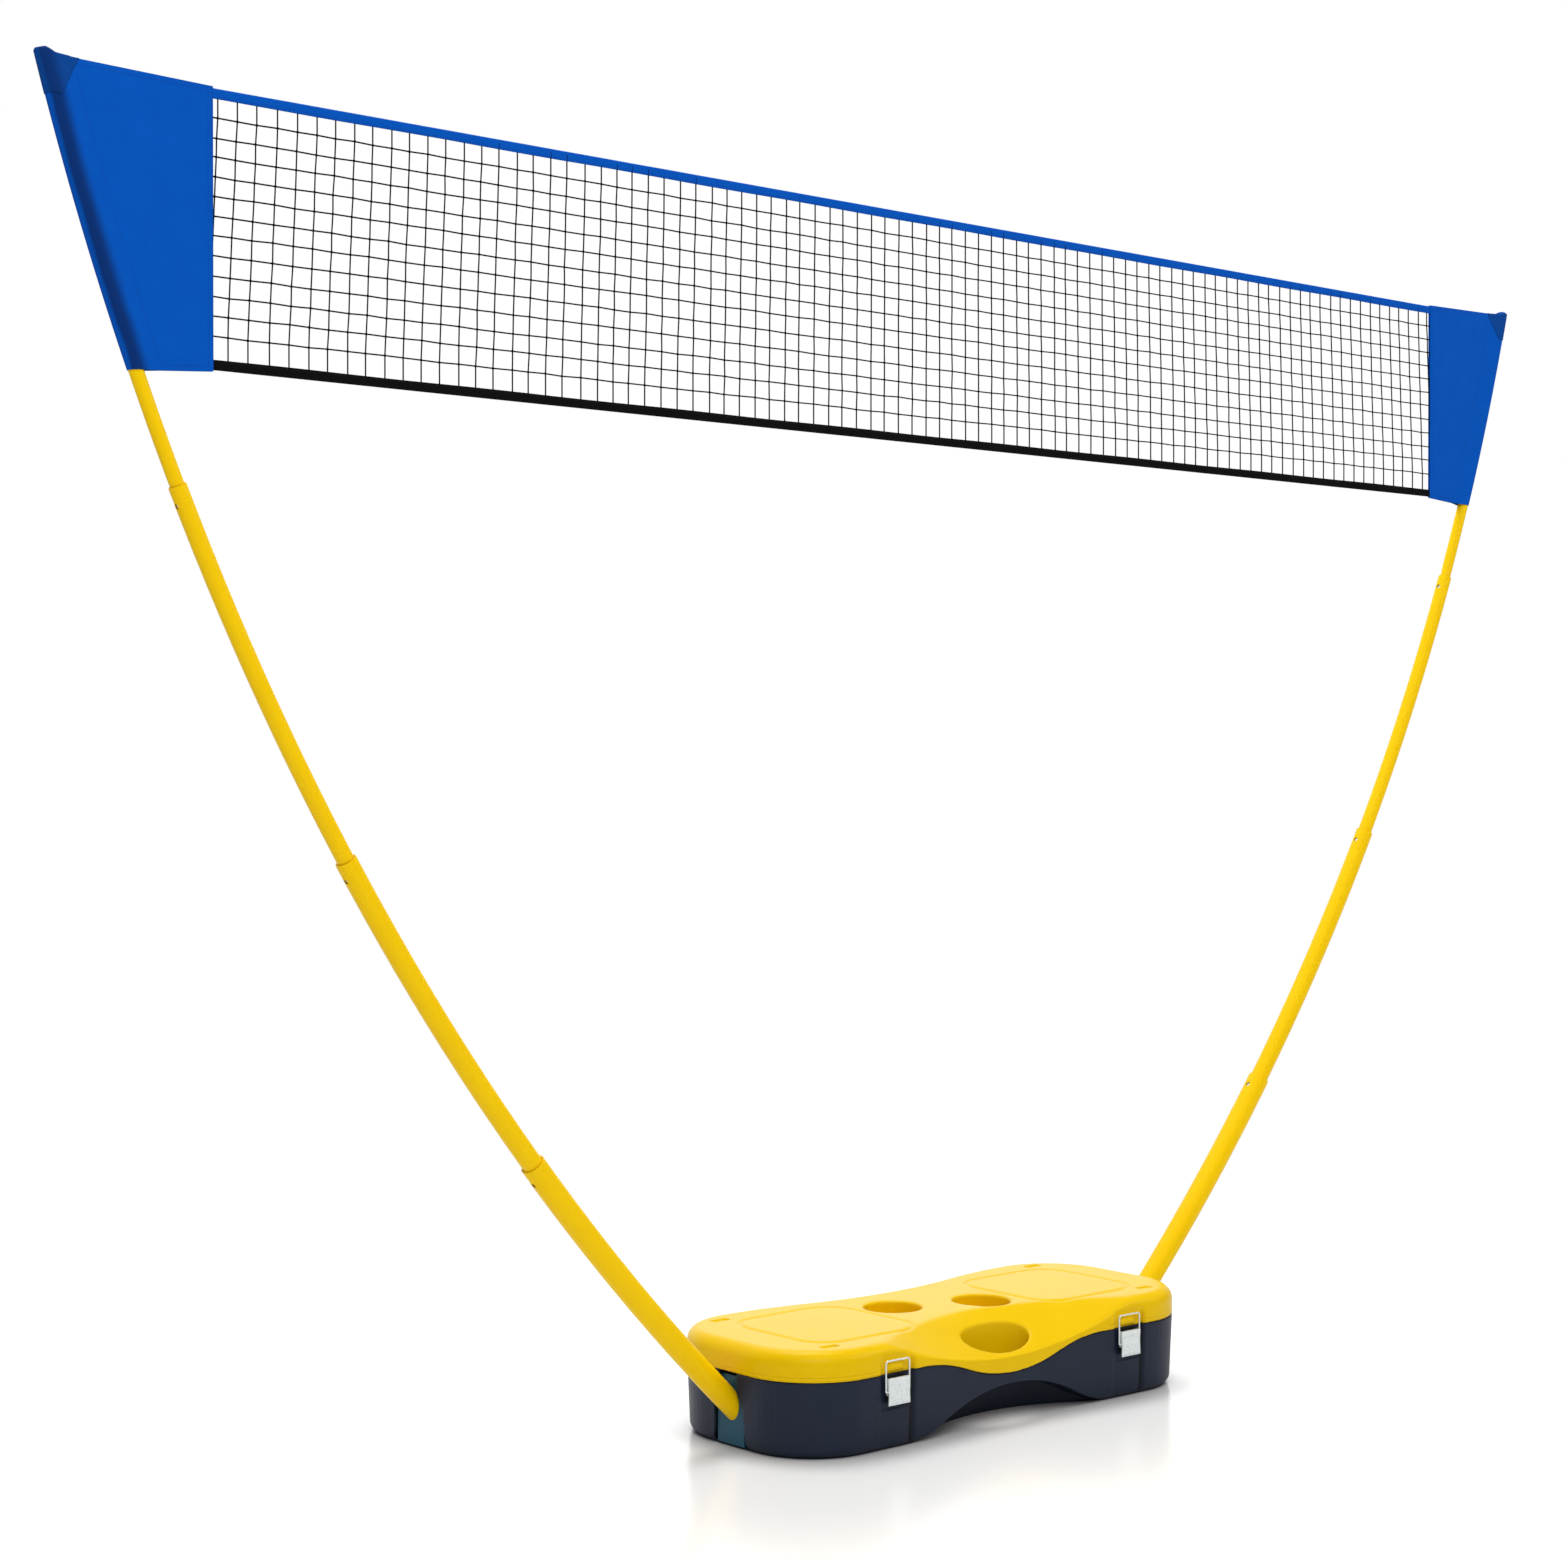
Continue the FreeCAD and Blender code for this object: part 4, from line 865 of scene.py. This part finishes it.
def over_the_pole(side, rise, inward):
    """The place in the net's plane that is inward metres from the pole, rise up the panel."""
    foot = TIP_ANGLE + SLEEVE_LENGTH / CURVE_RADIUS
    head = TIP_ANGLE - SLEEVE_RISE / CURVE_RADIUS
    pole_x, pole_z = pole_point(foot + (head - foot) * rise, side)
    inner_z = PANEL_FOOT + (PANEL_TOP - PANEL_FOOT) * rise
    length = np.hypot(side * NET_HALF - pole_x, inner_z - pole_z)
    x = pole_x + (side * NET_HALF - pole_x) * inward / length
    return x, pole_z + (inner_z - pole_z) * inward / length, length


def panel_surface(side, rise, run, front):
    """A point of the panel's front (-1) or back (1) layer, run metres from its outermost line."""
    inward, out, _, _ = round_the_pole(run, 0)
    x, z, length = over_the_pole(side, rise, inward)
    flat = smooth_step(inward, SEAM_REACH * 0.7, SEAM_REACH + 0.02)
    ripple = 1 + np.sin(x * 31 + z * 17 + side) * np.sin(z * 19 - x * 7 + front)
    hem = smooth_step(rise, 0.0, 0.05) * smooth_step(1 - rise, 0.0, 0.05)
    out = out + PANEL_RIPPLE * ripple * flat * hem * smooth_step(length - inward, 0, 0.02)
    return x, out, z


def panel_place(side):
    """One panel's cloth: round the pole in the middle of the grid, and flat to both sides."""
    def place(around, up):
        way, front = half_run(around)
        rows = np.round(up * PANEL_ROWS)
        rows_left = PANEL_ROWS - rows
        hems = HEM_ROWS * HEM_ROW
        between = hems + (rows - HEM_ROWS) / (PANEL_ROWS - 2 * HEM_ROWS) * (1 - 2 * hems)
        rise = np.select(
            [rows <= HEM_ROWS, rows_left <= HEM_ROWS],
            [rows * HEM_ROW, 1 - rows_left * HEM_ROW],
            between,
        )
        _, _, arc, slope = round_the_pole(np.zeros(1), 0)
        length = over_the_pole(side, rise, 0 * rise)[2]
        run = np.interp(way, [0, ROUND_SHARE, BESIDE_SHARE], [0, arc, arc + slope])
        on_flat = (length - SEAM_REACH) * (way - BESIDE_SHARE) / (1 - BESIDE_SHARE)
        run = np.where(way > BESIDE_SHARE, arc + slope + on_flat, run)
        x, out, z = panel_surface(side, rise, run, front)
        return np.stack([x, out * front, z], -1), np.stack([run * front, z], -1)
    return place


def one_faced(piece):
    """Give loose cloth its thickness once all its faces look the same way."""
    alone(piece)
    bpy.ops.object.mode_set(mode="EDIT")
    bpy.ops.mesh.select_all(action="SELECT")
    bpy.ops.mesh.remove_doubles(threshold=0.00001)
    bpy.ops.mesh.normals_make_consistent(inside=False)
    bpy.ops.object.mode_set(mode="OBJECT")
    finish_with(piece, "SOLIDIFY", thickness=CLOTH, offset=0)
    alone(piece)
    bpy.ops.object.shade_smooth()


STITCH = 0.0031
STITCH_PITCH = 0.0043
STITCH_RISE = 0.00022
THREAD_RADIUS = 0.00024


def stitches(name, lines, finish):
    """Rows of short stitches, each a thread that rises out of the cloth and goes back in.

    Each line is a list of points that lie on the cloth, with the way that the cloth faces."""
    thread = bpy.data.curves.new(name, "CURVE")
    thread.dimensions = "3D"
    thread.bevel_depth = THREAD_RADIUS
    thread.bevel_resolution = 0
    thread.use_fill_caps = True
    for points, outward in lines:
        steps = np.linalg.norm(np.diff(points, axis=0), axis=1)
        reached = np.concatenate([[0], np.cumsum(steps)])
        for start in np.arange(0.002, reached[-1] - STITCH, STITCH_PITCH):
            places = [start, start + STITCH / 2, start + STITCH]
            x, y, z = (np.interp(places, reached, points[:, axis]) for axis in range(3))
            y[1] += outward * STITCH_RISE
            strand = thread.splines.new("POLY")
            strand.points.add(2)
            for point, spot in zip(strand.points, zip(x, y, z)):
                point.co = (*spot, 1)
    piece = bpy.data.objects.new(name, thread)
    scene.collection.objects.link(piece)
    alone(piece)
    bpy.ops.object.convert(target="MESH")
    piece = bpy.context.object
    bpy.ops.object.shade_smooth()
    finish.on(piece)
    return piece


# Where the hems' stitches run, and where the upright rows begin, as shares of the panel's height.
HEM_LINE = 0.018
SEAM_MARGIN = 0.004


def panel_seams(side):
    """The rows of stitches on one end panel: both hems, the net's edge and beside the pole."""
    _, _, arc, slope = round_the_pole(np.zeros(1), 0)
    along = np.linspace(0, 1, 60)
    level, upright = 0 * along, SEAM_MARGIN + (1 - 2 * SEAM_MARGIN) * along
    hems = [(level + HEM_LINE, along), (level + 1 - HEM_LINE, along)]
    rows = []
    for front in (-1, 1):
        for rise, run_share in (*hems, (upright, None), (upright, 0)):
            length = over_the_pole(side, rise, 0 * rise)[2]
            if run_share is None:
                run = arc + slope + length - SEAM_REACH - 0.006
            else:
                run = arc + slope + 0.001 + (length - SEAM_REACH - 0.009) * run_share
            x, out, z = panel_surface(side, rise, run, front)
            rows.append((np.stack([x, (out + CLOTH / 2) * front, z], -1), front))
    return rows


# The pocket's length along the pole and along the panel's top, and how far it stands off the
# panel. Its sides take up this share of the grid, and the rest closes it over the tip.
POCKET_REACH = 0.042
POCKET_LENGTH = 0.038
POCKET_POINT = 0.0055
POCKET_STAND = 0.0007
SIDES_SHARE = 0.66
SLOPE_FROM = 0.0025
POCKET_COLUMNS, POCKET_ROWS = 64, 40


def pocket_place(side):
    """One pocket's cloth: a corner folded round the pole, open below and closed over the tip."""
    def place(around, up):
        way, front = half_run(around)
        closing = np.clip((up - SIDES_SHARE) / (1 - SIDES_SHARE), 0, 1)
        climb = np.clip(up / SIDES_SHARE, 0, 1)
        rise = 1 - (1 - climb) * POCKET_REACH / SLEEVE_LENGTH
        widest = POCKET_POINT + (POCKET_LENGTH - POCKET_POINT) * climb
        _, _, arc, slope = round_the_pole(np.zeros(1), POCKET_STAND)
        edge = arc + slope * np.minimum((widest - SLOPE_FROM) / (SEAM_REACH - SLOPE_FROM), 1)
        edge = edge + np.maximum(widest - SEAM_REACH, 0)
        knee = np.minimum(arc, 0.75 * edge)
        run = np.where(way < 0.5, knee * way / 0.5, knee + (edge - knee) * (way - 0.5) / 0.5)
        inward, out, _, _ = round_the_pole(run, POCKET_STAND)
        over_tip = np.exp(-((inward / 0.0072) ** 2))
        pinch = np.sqrt(np.clip(1 - closing ** 2, 0, 1))
        narrow = 1 - 0.45 * closing ** 1.2 * over_tip
        x, z, _ = over_the_pole(side, rise, inward * np.where(inward < 0.01, narrow, 1))
        notch = np.exp(-(((inward - 0.0115) / 0.0028) ** 2))
        z = z + closing * (0.0004 + 0.005 * over_tip ** 0.5 - 0.0034 * notch)
        out = np.maximum(out * pinch, 0.00028)
        crease = np.sin(inward * 240 + z * 260) * smooth_step(inward, 0.002, 0.02)
        crease = crease * smooth_step(1 - way, 0, 0.1)
        out = out + 0.001 * np.maximum(crease, 0) * (1 - closing)
        return np.stack([x, out * front, z], -1), np.stack([run * front, z], -1)
    return place


def sewn(name, dark, light, seam_shade, front):
    """The panels' cloth, with painted shade: on one face it darkens to navy in the hollow beside
    the pole.
    """
    cloth = woven(name, dark, light, 0.0006, 0.72, specular_ior_level=0.06)
    place = cloth.spot("UV")
    run = cloth.part(place, 0) * front
    sway = (cloth.noise(0.05, 2, place) - 0.5) * 0.006
    # Painted shade: a navy band along the pole, where the hollow beside the sleeve lies in shadow.
    band = cloth.step(run + sway, 0.003, 0.009) * (1 - cloth.step(run + sway, 0.014, 0.032))
    hollow_painted_shade = cloth.mix(band * seam_shade, cloth.plain_colour(), colour(8, 44, 104))
    cloth.feed("Base Color", hollow_painted_shade)
    return cloth


def sewing_thread(name, dark, light):
    """Twisted polyester thread, with a slight sheen."""
    thread = Finish(name, specular_ior_level=0.2)
    sheen = thread.noise(0.0006, 2)
    thread.feed("Base Color", thread.mix(sheen, colour(*dark), colour(*light)))
    thread.feed("Roughness", 0.5 + sheen * 0.2)
    return thread


blue_thread = sewing_thread("net_cloth_thread", (0, 68, 160), (0, 82, 182))
black_thread = sewing_thread("foot_band_thread", (14, 14, 16), (32, 32, 35))
BAND_THREAD = {"top_band": blue_thread, "foot_band": black_thread}
# How far the seam is from the tape's free edge, and how far it stops short of the net's ends.
SEAM_INSIDE = 0.0022
SEAM_SHORT = 0.004
for name, edge, fold in BANDS:
    level = edge - fold * (BAND_HEIGHT - SEAM_INSIDE)
    x = np.linspace(SEAM_SHORT - NET_HALF, NET_HALF - SEAM_SHORT, 400)
    lines = []
    for face in (-1, 1):
        y = face * (BAND_GAP / 2 + BAND_CLOTH) + tape_sway(x)
        lines.append((np.stack([x, y, 0 * x + level], -1), face))
    band_seam = stitches(name + "_stitches", lines, BAND_THREAD[name])
    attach(band_seam, "net")
    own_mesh(band_seam)

for side_name, side in (("left", -1), ("right", 1)):
    panel = cloth_grid("panel_" + side_name, PANEL_COLUMNS, PANEL_ROWS, panel_place(side))
    one_faced(panel)
    sewn("net_cloth_" + side_name, *PANEL_BLUE, 0.92, side).on(panel)
    seams = stitches("panel_stitches_" + side_name, panel_seams(side), blue_thread)
    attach(seams, "top_pole_" + side_name)
    pocket = cloth_grid("pocket_" + side_name, POCKET_COLUMNS, POCKET_ROWS, pocket_place(side))
    one_faced(pocket)
    sewn("pocket_cloth_" + side_name, (6, 62, 140), (10, 76, 158), 0.8, side).on(pocket)
    for piece, node, slot in (
        (panel, "end_panel_", "net_cloth"),
        (pocket, "corner_pocket_", "pocket_cloth"),
    ):
        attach(piece, "top_pole_" + side_name)
        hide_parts(node + side_name)


# The plug in each pole's tip. Moulded rubber with a round head, under the corner pocket.

PLUG_RADIUS, PLUG_HEAD, PLUG_SHANK = 0.0079, 0.0028, 0.015
PLUG_SHOULDER, PLUG_ROUNDING = 0.001, 0.0018
for side_name, side in (("left", -1), ("right", 1)):
    bpy.ops.object.select_all(action="DESELECT")
    bpy.ops.mesh.primitive_cylinder_add(vertices=40, radius=PLUG_RADIUS, depth=PLUG_HEAD)
    plug = bpy.context.object
    plug.name = "tip_plug_" + side_name
    alone(plug)
    bpy.ops.object.mode_set(mode="EDIT")
    bpy.ops.mesh.select_all(action="SELECT")
    bpy.ops.transform.translate(value=(0, 0, PLUG_HEAD / 2))
    bpy.ops.mesh.select_all(action="DESELECT")
    bpy.ops.object.mode_set(mode="OBJECT")
    for face in plug.data.polygons:
        face.select = face.normal.z < -0.9
    bpy.ops.object.mode_set(mode="EDIT")
    bpy.ops.mesh.inset(thickness=PLUG_SHOULDER)
    bpy.ops.mesh.extrude_region_move(TRANSFORM_OT_translate={"value": (0, 0, -PLUG_SHANK)})
    bpy.ops.object.mode_set(mode="OBJECT")
    rounding = {"width": PLUG_ROUNDING, "segments": 4, "limit_method": "ANGLE", "angle_limit": 0.9}
    finish_with(plug, "BEVEL", **rounding)
    tip_x, tip_z = pole_point(TIP_ANGLE, side)
    plug.location = (tip_x, 0, tip_z)
    plug.rotation_euler = (0, side * TIP_ANGLE, 0)
    bpy.ops.object.transform_apply(location=True, rotation=True, scale=True)
    bpy.ops.object.shade_smooth_by_angle(angle=0.6)
    rubber.on(plug)
    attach(plug, "top_pole_" + side_name)
    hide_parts("pole_tip_cap_" + side_name)
